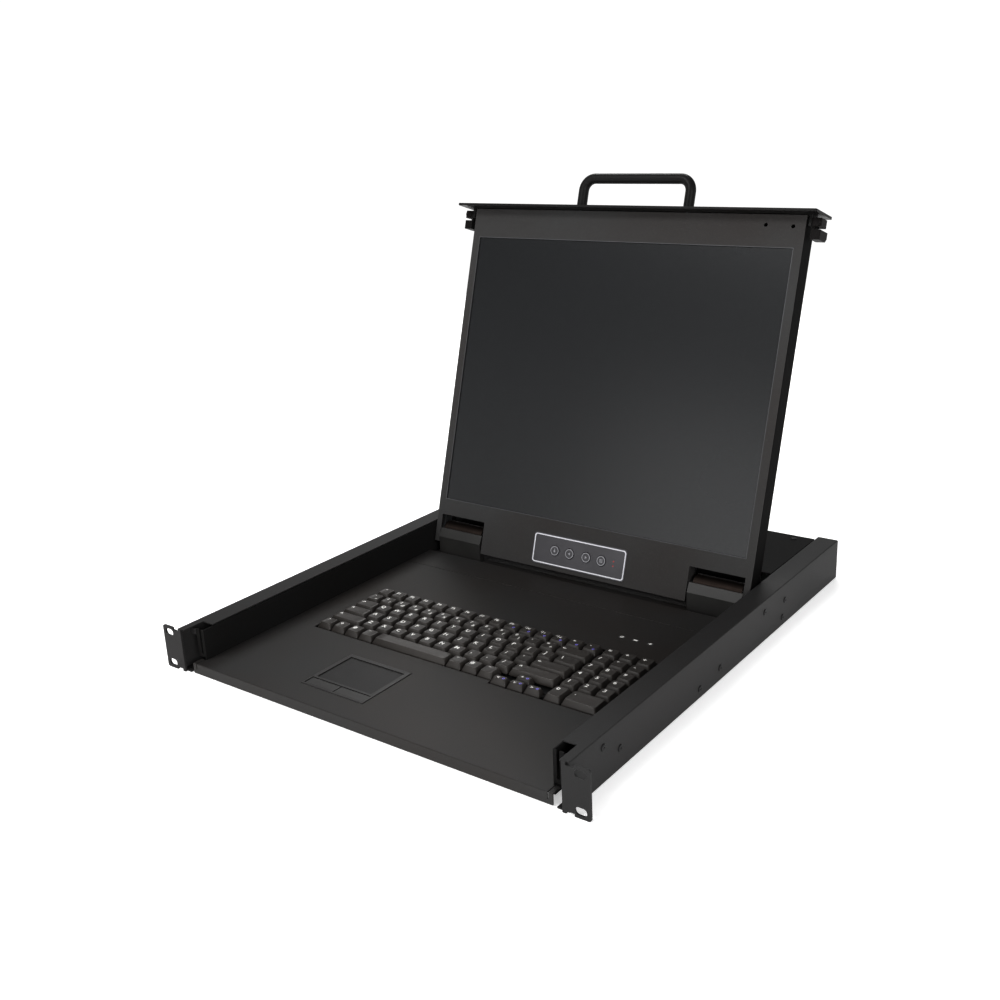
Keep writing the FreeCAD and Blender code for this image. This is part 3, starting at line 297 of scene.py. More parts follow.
def edge_wear_and_highlight_mask(nodes, links, rounded):
    """1 along the edges, where the coat is worn and a highlight is painted, and 0 on flat faces, from
    the rounded normal.
    """
    geometry = nodes.new("ShaderNodeNewGeometry")
    dot = nodes.new("ShaderNodeVectorMath")
    dot.operation = "DOT_PRODUCT"
    links.new(rounded, dot.inputs[0])
    links.new(geometry.outputs["Normal"], dot.inputs[1])
    return remap(nodes, links, dot.outputs["Value"], 1.0, 0.0, from_low=0.86, from_high=0.995)


def coated_metal(name, color, worn_and_highlight, roughness, grain, bump, gloss):
    """Powder-coated sheet: fine orange peel, faint clouds, and a paler coat along the edges, which is
    edge wear and partly a painted highlight.
    """
    material, nodes, links, shader, coordinates = new_material(name)
    clouds = noise(nodes, links, coordinates, 7.0, detail=4.0)
    specks = noise(nodes, links, coordinates, grain, detail=2.0, roughness=0.6)
    rounded = soft_edges(nodes, COAT_EDGE)
    edges = edge_wear_and_highlight_mask(nodes, links, rounded)
    warm = (color[0] * 0.94, color[1] * 0.88, color[2] * 0.85)
    pale = (sum(color) / 3 * 1.13,) * 3
    tone = mix_colors(nodes, links, remap(nodes, links, clouds, 0.0, 1.0), warm, pale)
    speckle = remap(nodes, links, specks, 0.0, 0.35, from_low=0.55, from_high=0.8)
    speckled = mix_colors(nodes, links, speckle, tone, worn_and_highlight)
    # The paler colour along the edges, broken up by scuffs, is edge wear and also a painted highlight.
    scuffs = noise(nodes, links, coordinates, 160.0)
    wear_and_highlight = nodes.new("ShaderNodeMath")
    wear_and_highlight.operation = "MULTIPLY"
    links.new(edges, wear_and_highlight.inputs[0])
    links.new(remap(nodes, links, scuffs, 0.15, 0.9), wear_and_highlight.inputs[1])
    links.new(mix_colors(nodes, links, wear_and_highlight.outputs[0], speckled, worn_and_highlight), shader.inputs["Base Color"])
    links.new(remap(nodes, links, clouds, roughness - 0.04, roughness + 0.05),
              shader.inputs["Roughness"])
    links.new(add_bump(nodes, links, specks, bump, 0.12 * MM, rounded), shader.inputs["Normal"])
    shader.inputs["Specular IOR Level"].default_value = gloss
    return material


def moulded_plastic(name, color, roughness, grain, bump, gloss):
    """Moulded plastic with a fine spark-eroded texture and a slightly shinier high spot pattern."""
    material, nodes, links, shader, coordinates = new_material(name)
    clouds = noise(nodes, links, coordinates, 30.0)
    texture = noise(nodes, links, coordinates, grain, roughness=0.65)
    rounded = soft_edges(nodes, PLASTIC_EDGE)
    tone = mix_colors(nodes, links, remap(nodes, links, clouds, 0.0, 1.0),
                      shade(color, 0.88), shade(color, 1.15))
    links.new(tone, shader.inputs["Base Color"])
    links.new(remap(nodes, links, texture, roughness - 0.06, roughness + 0.06),
              shader.inputs["Roughness"])
    links.new(add_bump(nodes, links, texture, bump, 0.08 * MM, rounded), shader.inputs["Normal"])
    shader.inputs["Specular IOR Level"].default_value = gloss
    return material


def bare_metal(name, color, roughness, stretch):
    """Plated or drawn steel, with fine marks along the direction that stretch leaves long."""
    material, nodes, links, shader, coordinates = new_material(name)
    mapping = nodes.new("ShaderNodeMapping")
    mapping.inputs["Scale"].default_value = stretch
    links.new(coordinates, mapping.inputs["Vector"])
    marks = noise(nodes, links, mapping.outputs["Vector"], 1.0, detail=4.0, roughness=0.6)
    clouds = noise(nodes, links, coordinates, 60.0)
    tone = mix_colors(nodes, links, remap(nodes, links, clouds, 0.0, 1.0), shade(color, 0.8), color)
    links.new(tone, shader.inputs["Base Color"])
    links.new(remap(nodes, links, marks, roughness - 0.08, roughness + 0.1), shader.inputs["Roughness"])
    rounded = soft_edges(nodes, METAL_EDGE)
    links.new(add_bump(nodes, links, marks, 0.15, 0.05 * MM, rounded), shader.inputs["Normal"])
    shader.inputs["Metallic"].default_value = 1.0
    return material


def screen_surface():
    """The switched-off panel: deep grey under an anti-glare film with a fine sparkle."""
    material, nodes, links, shader, coordinates = new_material("screen_film")
    sparkle = noise(nodes, links, coordinates, 2600.0, detail=2.0)
    clouds = noise(nodes, links, coordinates, 5.0, detail=2.0)
    tone = mix_colors(nodes, links, remap(nodes, links, clouds, 0.0, 1.0, from_low=0.1, from_high=0.9),
                      (0.0115, 0.0123, 0.0133), (0.014, 0.0152, 0.0168))
    links.new(tone, shader.inputs["Base Color"])
    links.new(remap(nodes, links, sparkle, 0.21, 0.28), shader.inputs["Roughness"])
    links.new(add_bump(nodes, links, sparkle, 0.05, 0.03 * MM), shader.inputs["Normal"])
    shader.inputs["Specular IOR Level"].default_value = 0.5
    return material


def printed_ink(name, color):
    """Screen-printed ink: matt, a little uneven in cover and slightly grainy."""
    material, nodes, links, shader, coordinates = new_material(name)
    cover = noise(nodes, links, coordinates, 900.0)
    tone = mix_colors(nodes, links, remap(nodes, links, cover, 0.0, 1.0), shade(color, 0.82), color)
    links.new(tone, shader.inputs["Base Color"])
    links.new(remap(nodes, links, cover, INK_ROUGHNESS - 0.05, INK_ROUGHNESS + 0.08),
              shader.inputs["Roughness"])
    links.new(add_bump(nodes, links, cover, 0.1, 0.02 * MM), shader.inputs["Normal"])
    return material


def lamp_lens(name, color):
    """A tinted lens over a dark lamp, with a faint moulded ripple."""
    material, nodes, links, shader, coordinates = new_material(name)
    ripple = noise(nodes, links, coordinates, 700.0, detail=2.0)
    tone = mix_colors(nodes, links, remap(nodes, links, ripple, 0.0, 1.0), shade(color, 0.7), color)
    links.new(tone, shader.inputs["Base Color"])
    links.new(remap(nodes, links, ripple, 0.2, 0.3), shader.inputs["Roughness"])
    links.new(add_bump(nodes, links, ripple, 0.1, 0.03 * MM), shader.inputs["Normal"])
    shader.inputs["Coat Weight"].default_value = 0.4
    return material


def circuit_board():
    """Green solder mask over copper tracks."""
    material, nodes, links, shader, coordinates = new_material("solder_mask")
    tracks = nodes.new("ShaderNodeTexBrick")
    tracks.inputs["Scale"].default_value = 160.0
    tracks.inputs["Mortar Size"].default_value = 0.02
    tracks.inputs["Color1"].default_value = (0.012, 0.09, 0.035, 1.0)
    tracks.inputs["Color2"].default_value = (0.015, 0.11, 0.045, 1.0)
    tracks.inputs["Mortar"].default_value = (0.03, 0.17, 0.07, 1.0)
    links.new(coordinates, tracks.inputs["Vector"])
    grain = noise(nodes, links, coordinates, 500.0, detail=2.0)
    links.new(tracks.outputs["Color"], shader.inputs["Base Color"])
    links.new(remap(nodes, links, grain, 0.28, 0.42), shader.inputs["Roughness"])
    links.new(add_bump(nodes, links, tracks.outputs["Fac"], 0.2, 0.03 * MM), shader.inputs["Normal"])
    return material


def floor_paint():
    """The pale floor, which glows softly like a light table."""
    material, nodes, links, shader, coordinates = new_material("pale_floor")
    clouds = noise(nodes, links, coordinates, 1.5, detail=2.0)
    links.new(mix_colors(nodes, links, clouds, (0.86, 0.86, 0.865), (0.88, 0.88, 0.88)),
              shader.inputs["Base Color"])
    shader.inputs["Roughness"].default_value = 0.9
    shader.inputs["Specular IOR Level"].default_value = 0.1
    shader.inputs["Emission Color"].default_value = (1.0, 1.0, 1.0, 1.0)
    shader.inputs["Emission Strength"].default_value = FLOOR_GLOW
    return material


ALONG_X = (60.0, 900.0, 900.0)
ALONG_Y = (900.0, 12.0, 900.0)
EVEN = (400.0, 400.0, 400.0)

# Coated sheet metal: colour, colour of the worn edges and specks (along the edges also a painted
# highlight), roughness, grain size, bump and gloss.
COATS = {
    "rail_coat": ((0.031, 0.031, 0.032), (0.09, 0.09, 0.093), 0.46, 1500.0, 0.18, 0.12),
    "drawer_coat": ((0.016, 0.016, 0.016), (0.05, 0.049, 0.048), 0.5, 1500.0, 0.18, 0.03),
    "panel_coat": ((0.033, 0.0305, 0.0287), (0.095, 0.088, 0.082), 0.5, 1300.0, 0.25, 0.25),
    "display_coat": ((0.051, 0.05, 0.05), (0.14, 0.137, 0.135), 0.48, 1500.0, 0.18, 0.05),
    "handle_coat": ((0.011, 0.011, 0.011), (0.06, 0.06, 0.06), 0.4, 1800.0, 0.12, 0.15),
    "latch_coat": ((0.011, 0.009, 0.009), (0.06, 0.056, 0.054), 0.42, 1800.0, 0.12, 0.06),
    "black_screw": ((0.016, 0.016, 0.017), (0.06, 0.06, 0.06), 0.4, 2500.0, 0.1, 0.15),
}
# Bare metal: colour, roughness and the stretch of its marks.
METALS = {
    "zinc_steel": ((0.55, 0.56, 0.58), 0.34, ALONG_Y),
    "ball_steel": ((0.7, 0.7, 0.72), 0.16, EVEN),
    "bronze_steel": ((0.034, 0.026, 0.0225), 0.55, ALONG_X),
    "nickel_shell": ((0.58, 0.57, 0.54), 0.28, EVEN),
    "module_frame": ((0.42, 0.43, 0.44), 0.4, EVEN),
}
# Moulded plastic: colour, roughness, grain size, bump and gloss.
PLASTICS = {
    "cage_plastic": ((0.55, 0.54, 0.5), 0.45, 1200.0, 0.1, 0.5),
    "black_plastic": ((0.018, 0.018, 0.018), 0.45, 1600.0, 0.2, 0.4),
    "hinge_plastic": ((0.03, 0.0292, 0.028), 0.42, 1600.0, 0.18, 0.4),
    "key_plastic": ((0.038, 0.0335, 0.0302), 0.42, 2200.0, 0.2, 0.5),
    "pad_plastic": ((0.031, 0.0295, 0.0291), 0.42, 1800.0, 0.2, 0.35),
    "pad_film": ((0.021, 0.0203, 0.0203), 0.45, 2400.0, 0.1, 0.25),
    "membrane_rubber": ((0.008, 0.008, 0.008), 0.65, 900.0, 0.2, 0.2),
    "osd_film": ((0.058, 0.056, 0.062), 0.33, 2600.0, 0.08, 0.5),
    "port_block": ((0.02, 0.05, 0.22), 0.45, 1400.0, 0.15, 0.5),
    # Near-black plastic for the sheets of painted shade on the screen housing's sides.
    "painted_shade_black": ((0.006, 0.0056, 0.0056), 0.5, 1400.0, 0.15, 0.02),
    "window_edge": ((0.085, 0.086, 0.09), 0.4, 1400.0, 0.1, 0.3),
}
INKS = {
    "white": (0.9, 0.89, 0.86),
    "blue": (0.27, 0.23, 0.85),
    "silver": (0.72, 0.72, 0.76),
    "grey": (0.36, 0.36, 0.38),
}


def make_materials():
    """One material for each slot of the record, by the slot's name, and one for each ink."""
    made = {"screen_surface": screen_surface(), "circuit_board": circuit_board(),
            "lamp_lens": lamp_lens("lamp_lens", (0.1, 0.1, 0.1)),
            "red_lens": lamp_lens("red_lens", (0.3, 0.035, 0.035))}
    for slot, values in COATS.items():
        made[slot] = coated_metal(slot, *values)
    for slot, values in METALS.items():
        made[slot] = bare_metal(slot, *values)
    for slot, values in PLASTICS.items():
        made[slot] = moulded_plastic(slot, *values)
    for tint, color in INKS.items():
        made[tint + "_ink"] = printed_ink(tint + "_ink", color)
    return made


MATERIALS = make_materials()

# Nodes whose coat is darker than the rest of their slot.
OWN_FINISH = {"front_bar": "handle_coat"}


def dress_cad_nodes():
    """Gives every CAD node the finish of its material slot."""
    for subpart in frame["record"]["subparts"]:
        name = subpart["node"]
        finish = OWN_FINISH.get(name, subpart["material_slot"])
        NODES[name].data.materials.clear()
        NODES[name].data.materials.append(MATERIALS[finish])


# ---- keyboard ------------------------------------------------------------------------------
CAP_CORNER = 1.3 * MM
CAP_TOP_CORNER = 1.9 * MM
CAP_DISH = 0.45 * MM
CAP_SIDE_TAPER = 2.0 * MM
CAP_FRONT_TAPER = 2.8 * MM
CAP_BACK_TAPER = 0.8 * MM
CAP_SKIRT = 0.9 * MM
CAP_EDGE = 0.45 * MM

# The rolled edge, in parts of its size: inset, how much tighter its corners are, and its drop.
CAP_EDGE_STEPS = ((0.0, 0.0, 1.0), (0.4, 0.25, 0.25), (1.0, 0.6, 0.0))
CAP_DISH_STEPS = (0.8, 0.55, 0.25)
LEGEND_T = 0.05 * MM
LEGEND_SIZE = 6.8 * MM
SMALL_LEGEND = 5.2 * MM
LEGEND_BOLD = 0.03
LEGEND_X = 4.2 * MM
LEGEND_X_SHARE = 0.3
LEGEND_Y = 4.0 * MM
SHIFTED_X = 3.2 * MM
SHIFTED_Y = 3.4 * MM
ARROW_ROW_STEP = 5.0 * MM
PAD_RIM = 5.2 * MM
PAD_FRONT_RIM = 17.2 * MM
PAD_SINK = 1.1 * MM
PAD_FILM_T = 0.15 * MM
PAD_FILM_CORNER = 1.0 * MM

# Marks on the lamps: the ring's two radii, half the bar's width and height, half the arrow's height.
LAMP_RING = (1.8 * MM, 1.0 * MM)
LAMP_BAR = (2.2 * MM, 1.0 * MM)
LAMP_ARROW = 1.9 * MM

FUNCTION_LEGENDS = ["*"] + ["F%d" % n for n in range(1, 13)] + ["=", "-"]
NUMBER_LEGENDS = list("`1234567890-=") + ["<-"]
TOP_LEGENDS = ["->"] + list("QWERTYUIOP[]") + ["\\"]
HOME_LEGENDS = ["^"] + list("ASDFGHJKL;'") + ["<-"]
LOWER_LEGENDS = ["^"] + list("ZXCVBNM,./") + ["^"]
BOTTOM_LEGENDS = ["*", "+", "#", "*", "*", "#", "*"]
NUMBER_SHIFTED = list("~!@#$%^&*()_+") + [""]
FUNCTION_SHIFTED = [""] * 9 + ["o"] * 6

# The keypad's rows of characters, from the front row to the back one.
KEYPAD_ROWS = ("0.", "123", "456", "789", "/*-", "=++")


def dish_height(x, low, high):
    """How far the keytop sinks below its rim: a shallow trough that runs along Y."""
    half = (high.x - low.x) / 2
    across = (x - (low.x + high.x) / 2) / half
    return CAP_DISH * max(0.0, 1 - across * across)


def cap_top(low, high):
    """The (x0, x1, y0, y1) rectangle of a keycap's top."""
    return (low.x + CAP_SIDE_TAPER, high.x - CAP_SIDE_TAPER,
            low.y + CAP_FRONT_TAPER, high.y - CAP_BACK_TAPER)


def cap_ring(rectangle, inset, radius, z):
    """A ring of points round a rounded rectangle."""
    x0, x1, y0, y1 = rectangle
    outline = rounded_outline(x0 + inset, x1 - inset, y0 + inset, y1 - inset, radius, steps=3)
    return [Vector((x, y, z)) for x, y in outline]


def add_keycap(bm, low, high):
    """A tapered keycap with rounded corners, a rolled edge and a dished top."""
    foot = (low.x, high.x, low.y, high.y)
    rings = [cap_ring(foot, 0.0, CAP_CORNER, z) for z in (low.z, low.z + CAP_SKIRT)]
    for inset, tighter, drop in CAP_EDGE_STEPS:
        rings.append(cap_ring(cap_top(low, high), CAP_EDGE * inset, CAP_TOP_CORNER - CAP_EDGE * tighter,
                              high.z - CAP_EDGE * drop))
    rim = rings[-1]
    centre = sum(rim, Vector()) / len(rim)
    for share in CAP_DISH_STEPS:
        ring = [centre.lerp(point, share) for point in rim]
        for point in ring:
            point.z = high.z - dish_height(point.x, low, high)
        rings.append(ring)
    bridge_rings(bm, rings)


# The outlines made so far, by their text.
GLYPHS = {}


def glyph_mesh(text):
    """The built-in font's flat outline of a character, centred, one unit high."""
    if text not in GLYPHS:
        curve = bpy.data.curves.new("glyph", "FONT")
        curve.body = text
        curve.align_x = "CENTER"
        curve.align_y = "CENTER"
        curve.resolution_u = 2
        curve.offset = LEGEND_BOLD
        holder = bpy.data.objects.new("glyph", curve)
        bpy.context.scene.collection.objects.link(holder)
        bpy.context.view_layer.update()
        graph = bpy.context.evaluated_depsgraph_get()
        GLYPHS[text] = bpy.data.meshes.new_from_object(holder.evaluated_get(graph))
        bpy.data.objects.remove(holder)
        bpy.data.curves.remove(curve)
    return GLYPHS[text]


def add_legend(bm, text, x, y, size, low, high):
    """A printed legend that follows the dished keytop, a hair above it."""
    start = len(bm.verts)
    bm.from_mesh(glyph_mesh(text))
    bm.verts.ensure_lookup_table()
    for vertex in bm.verts[start:]:
        px = x + vertex.co.x * size
        py = y + vertex.co.y * size
        vertex.co = Vector((px, py, high.z - dish_height(px, low, high) + LEGEND_T))


def print_legends(caps, legends, shifted, main, extra):
    """Prints one legend at the back left of each cap, and a second one at its front right."""
    for (low, high), text, second in zip(caps, legends, shifted):
        x0, x1, y0, y1 = cap_top(low, high)
        x = x0 + min(LEGEND_X_SHARE * (x1 - x0), LEGEND_X)
        if second:
            add_legend(extra, second, x1 - SHIFTED_X, y0 + SHIFTED_Y, SMALL_LEGEND, low, high)
            add_legend(main, text, x, y1 - SHIFTED_Y, SMALL_LEGEND, low, high)
        elif text:
            size = SMALL_LEGEND if len(text) > 1 else LEGEND_SIZE
            add_legend(main, text, x, y1 - LEGEND_Y, size, low, high)


def key_row(node, legends, shifted=None, extra_ink="white"):
    """Replaces a CAD row of keys by shaped keycaps with printed legends, on the row's own body."""
    caps = solid_boxes(node)
    bm = bmesh.new()
    for low, high in caps:
        add_keycap(bm, low, high)
    name = node.replace("_keys", "").replace("_bar", "")
    keycaps = add_piece(name + "_keycaps", bm, node, MATERIALS["key_plastic"])
    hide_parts(node)
    main = bmesh.new()
    blue = bmesh.new()
    extra = blue if extra_ink == "blue" else main
    print_legends(caps, legends, shifted or [""] * len(caps), main, extra)
    if main.verts:
        add_piece(name + "_legends", main, node, MATERIALS["white_ink"])
    if blue.verts:
        add_piece(name + "_blue_legends", blue, node, MATERIALS["blue_ink"])


def arrow_legends():
    """The upper arrow points back; the lower ones point left, to the front and right."""
    caps = solid_boxes("arrow_keys")
    front = min(low.y for low, high in caps)
    lower = iter("<v>")
    return ["^" if low.y > front + ARROW_ROW_STEP else next(lower) for low, high in caps]


def keypad_legends():
    """The character of each keypad key, by its row and column."""
    caps = solid_boxes("keypad_keys")
    rows = sorted({round(low.y, 4) for low, high in caps})
    columns = sorted({round(low.x, 4) for low, high in caps})
    legends = []
    for low, high in caps:
        row = KEYPAD_ROWS[rows.index(round(low.y, 4))]
        column = min(columns.index(round(low.x, 4)), len(row) - 1)
        legends.append(row[column])
    return legends


def keyboard():
    """Every row and block of keys."""
    key_row("function_keys", FUNCTION_LEGENDS, FUNCTION_SHIFTED, "blue")
    key_row("number_row_keys", NUMBER_LEGENDS, NUMBER_SHIFTED)
    key_row("top_letter_keys", TOP_LEGENDS)
    key_row("home_row_keys", HOME_LEGENDS)
    key_row("lower_letter_keys", LOWER_LEGENDS)
    key_row("bottom_row_keys", BOTTOM_LEGENDS)
    key_row("space_bar", [""])
    key_row("arrow_keys", arrow_legends(), ["o"] * 4, "blue")
    key_row("keypad_keys", keypad_legends())


def touchpad_film():
    """The dark film that covers the sunken touch area."""
    low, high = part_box("touchpad")
    outline = rounded_outline(low.x + PAD_RIM, high.x - PAD_RIM,
                              low.y + PAD_FRONT_RIM, high.y - PAD_RIM, PAD_FILM_CORNER)
    surface = high.z - PAD_SINK
    bm = bmesh.new()
    add_plate(bm, outline, surface - PAD_FILM_T, surface + PAD_FILM_T)
    add_piece("touchpad_film", bm, "drawer", MATERIALS["pad_film"])


def lock_lamp_symbols():
    """A ring, a bar and an arrow printed on the three lamps."""
    lamps = solid_boxes("lock_indicator_lamps")
    left, middle, right = [(low + high) / 2 for low, high in lamps]
    z = lamps[0][1].z
    bm = bmesh.new()
    ring_mark(bm, left.x, left.y, *LAMP_RING, z)
    bar_mark(bm, middle.x, middle.y, *LAMP_BAR, z)
    arrow_mark(bm, right.x, right.y, LAMP_ARROW, z)
    add_piece("lock_lamp_symbols", bm, "drawer", MATERIALS["white_ink"])


# ---- screen ----------------------------------------------------------------------------------
INK_SINK = 0.01 * MM
FRAME_LINE_INSET = 1.2 * MM
FRAME_LINE_W = 1.3 * MM
FRAME_LINE_T = 0.12 * MM
FRAME_LINE_CORNERS = (3.2 * MM, 2.2 * MM)
OSD_RING_R = 5.1 * MM
OSD_RING_W = 0.8 * MM

# Marks on the buttons: the spot's drop and radius; the pointer's rise, half width and half height;
# the triangle's tip, base and half height; the menu lines' pitch, half length and half thickness.
OSD_SPOT = (0.5 * MM, 1.2 * MM)
OSD_POINTER = (1.8 * MM, 0.35 * MM, 0.8 * MM)
OSD_TRIANGLE = (1.7 * MM, 1.0 * MM, 1.5 * MM)
OSD_MENU_LINE = (1.3 * MM, 2.0 * MM, 0.35 * MM)

GLASS_BORDER = 4.0 * MM
WINDOW_EDGE = 0.7 * MM
WINDOW_EDGE_T = 0.08 * MM
# The sheets of painted shade on the screen housing's sides: gap, setback and corner.
SHADE_SHEET_GAP = 0.3 * MM
SHADE_SHEET_SETBACK = 1.3 * MM
SHADE_SHEET_CORNER = 1.0 * MM

# The painted-shade sheet's rounded rim: how far out of the side, and how far in from the sheet's front
# edge.
SHADE_SHEET_STEPS = ((0.0, 0.0), (0.2 * MM, 0.0), (0.3 * MM, 0.1 * MM))


def osd_outline():
    """The printed silver frame line round the control panel."""
    low, high = box_in("osd_panel", SCREEN)
    outlines = []
    for inset, corner in zip((FRAME_LINE_INSET, FRAME_LINE_INSET + FRAME_LINE_W), FRAME_LINE_CORNERS):
        outlines.append(rounded_outline(low.x + inset, high.x - inset,
                                        low.y + inset, high.y - inset, corner, steps=6))
    bm = bmesh.new()
    add_band(bm, *outlines, high.z - INK_SINK, high.z + FRAME_LINE_T)
    add_piece("control_panel_outline", bm, "display", MATERIALS["silver_ink"], SCREEN)


def dial_mark(bm, cx, cy, z):
    """A spot with a pointer above it."""
    spot_drop, spot_r = OSD_SPOT
    pointer_rise, half_w, half_h = OSD_POINTER
    add_plate(bm, circle_points(cx, cy - spot_drop, spot_r, count=16), z, z + INK_T)
    bar_mark(bm, cx, cy + pointer_rise, half_w, half_h, z)


def triangle_mark(bm, cx, cy, side, z):
    """A triangle that points left (side -1) or right (side 1)."""
    tip, base, half_h = OSD_TRIANGLE
    outline = [(cx + side * tip, cy), (cx - side * base, cy + half_h), (cx - side * base, cy - half_h)]
    add_plate(bm, outline, z, z + INK_T)


def menu_mark(bm, cx, cy, z):
    """Three lines, one above the other."""
    pitch, half_w, half_h = OSD_MENU_LINE
    for row in (-1, 0, 1):
        bar_mark(bm, cx, cy + row * pitch, half_w, half_h, z)


def osd_symbol(bm, number, cx, cy, z):
    """The generic mark of a control button: a dial, one of two triangles, or a menu."""
    if number == 1:
        dial_mark(bm, cx, cy, z)
    elif number == 4:
        menu_mark(bm, cx, cy, z)
    else:
        triangle_mark(bm, cx, cy, -1 if number == 2 else 1, z)


def osd_marks():
    """The ring and the symbol printed on each control button."""
    for number in range(1, 5):
        node = "osd_button_%d" % number
        low, high = box_in(node, SCREEN)
        centre = (low + high) / 2
        z = high.z - INK_SINK
        bm = bmesh.new()
        ring_mark(bm, centre.x, centre.y, OSD_RING_R, OSD_RING_R - OSD_RING_W, z)
        osd_symbol(bm, number, centre.x, centre.y, z)
        add_piece(node + "_mark", bm, node, MATERIALS["grey_ink"], SCREEN)


def screen_window_edge():
    """A paler flat band in the bezel's face, round the edge of the screen's window."""
    low, high = box_in("screen_glass", SCREEN)
    face_z = box_in("osd_panel", SCREEN)[0].z
    outlines = []
    for inset in (GLASS_BORDER - WINDOW_EDGE, GLASS_BORDER):
        outlines.append([(low.x + inset, low.y + inset), (high.x - inset, low.y + inset),
                         (high.x - inset, high.y - inset), (low.x + inset, high.y - inset)])
    bm = bmesh.new()
    add_band(bm, *outlines, face_z - WINDOW_EDGE_T, face_z + WINDOW_EDGE_T)
    add_piece("screen_window_edge", bm, "display", MATERIALS["window_edge"], SCREEN)


def display_side_painted_shade():
    """A near-black sheet over each long side of the screen housing: painted shade that darkens the
    sides.
    """
    low, high = box_in("display_back_cover", SCREEN)
    bezel_high = box_in("display_bezel", SCREEN)[1]
    strips = ((bezel_high.x, SHADE_SHEET_GAP, bezel_high.z - SHADE_SHEET_SETBACK),
              (high.x, low.z + SHADE_SHEET_GAP, -SHADE_SHEET_GAP))
    bm = bmesh.new()
    for edge_x, z0, z1 in strips:
        outline = rounded_outline(low.y, high.y, z0, z1, SHADE_SHEET_CORNER)
        for side in (-1, 1):
            rings = []
            for out, inset in SHADE_SHEET_STEPS:
                rings.append([Vector((side * (edge_x + out), y, z - inset)) for y, z in outline])
            bridge_rings(bm, rings)
    add_piece("display_side_painted_shade", bm, "display", MATERIALS["painted_shade_black"], SCREEN)


SCREW_SINK = 0.4 * MM
SCREW_DOME = 0.42
SCREW_MARGIN = 9.0 * MM
LOWER_SCREW_Y = 46.0 * MM
COVER_SCREW_R = 2.9 * MM
MOUNT_SCREW_OUT = 50.0 * MM
MOUNT_SCREW_R = 3.2 * MM


def screw_head(bm, x, y, z, radius):
    """A domed screw head with a round recess, seen looking down at it."""
    height = radius * SCREW_DOME
    profile = [(-SCREW_SINK, radius), (height * 0.35, radius), (height * 0.75, radius * 0.86),
               (height, radius * 0.5), (height, radius * 0.36), (height * 0.2, radius * 0.3)]
    add_turned(bm, profile, Vector((x, y, z)), Vector((0.0, 0.0, 1.0)), count=20)


def display_back_screws():
    """The screws round the back cover and the four mounting screws in its middle."""
    low, high = box_in("display_back_cover", BEHIND_SCREEN)
    centre = (low + high) / 2
    bm = bmesh.new()
    for x in (low.x + SCREW_MARGIN, centre.x, high.x - SCREW_MARGIN):
        for y in (low.y + LOWER_SCREW_Y, high.y - SCREW_MARGIN):
            screw_head(bm, x, y, high.z, COVER_SCREW_R)
    for side_x in (-1, 1):
        for side_y in (-1, 1):
            screw_head(bm, centre.x + side_x * MOUNT_SCREW_OUT, centre.y + side_y * MOUNT_SCREW_OUT,
                       high.z, MOUNT_SCREW_R)
    add_piece("display_back_screws", bm, "display", MATERIALS["black_screw"],
              BEHIND_SCREEN)


# ---- rear panel ------------------------------------------------------------------------------
BACKWARD = Vector((0.0, 1.0, 0.0))
PORT_RAISE = 0.35 * MM
PORT_DEPTH = 6.0 * MM

# The pins' pitch along a row and between rows.
PORT_PIN_PITCH = (2.3 * MM, 1.9 * MM)
PORT_PIN_R = 0.42 * MM
PORT_PIN_LENGTH = 2.6 * MM
PORT_PIN_TIP = 0.4 * MM

# The block's half width at its top and at its bottom, its half height, and its two ends along Y.
PORT_BLOCK = (7.5 * MM, 6.6 * MM, 3.2 * MM)
PORT_BLOCK_Y = (-0.6 * MM, 0.3 * MM)

PORT_POST_X = 12.5 * MM
PORT_POST_R = 2.6 * MM
PORT_POST_LENGTH = 5.4 * MM
PORT_POST_BEVEL = 0.4 * MM
PORT_POST_HOLE = 3.4 * MM

# Marks on the power switch: the ring's two radii, and half the bar's width and height.
SWITCH_MARK_OUT = 5.0 * MM
SWITCH_MARK_SINK = 1.1 * MM
SWITCH_RING = (1.6 * MM, 1.1 * MM)
SWITCH_BAR = (0.3 * MM, 1.5 * MM)

# x along X, y up along Z and z out of the rear panel along Y.
BEHIND_DRAWER = Matrix(((1, 0, 0, 0), (0, 0, 1, 0), (0, 1, 0, 0), (0, 0, 0, 1)))


def port_pins(bm, cx, y, cz):
    """Fifteen pins in three staggered rows."""
    profile = [(0.0, PORT_PIN_R), (PORT_PIN_LENGTH - PORT_PIN_TIP, PORT_PIN_R),
               (PORT_PIN_LENGTH, PORT_PIN_R / 2)]
    for row in (-1, 0, 1):
        for i in range(-2, 3):
            place = (cx + (i + 0.25 * row) * PORT_PIN_PITCH[0], y, cz + row * PORT_PIN_PITCH[1])
            add_turned(bm, profile, Vector(place), BACKWARD, count=8)


def port_block(bm, cx, y, cz):
    """The moulding that holds the pins, wide side up."""
    top, bottom, half_h = PORT_BLOCK
    outline = [(cx - top, cz + half_h), (cx + top, cz + half_h),
               (cx + bottom, cz - half_h), (cx - bottom, cz - half_h)]
    bridge_rings(bm, [[Vector((x, y + out, z)) for x, z in outline] for out in PORT_BLOCK_Y])


def port_posts(bm, cx, y, cz):
    """The hexagonal post with a threaded hole on each side of a socket."""
    r = PORT_POST_R
    end = PORT_POST_LENGTH
    profile = [(0.0, r), (end - PORT_POST_BEVEL, r), (end, 0.8 * r), (end, 0.5 * r),
               (end - PORT_POST_HOLE, 0.46 * r)]
    for side in (-1, 1):
        add_turned(bm, profile, Vector((cx + side * PORT_POST_X, y, cz)), BACKWARD, count=6)


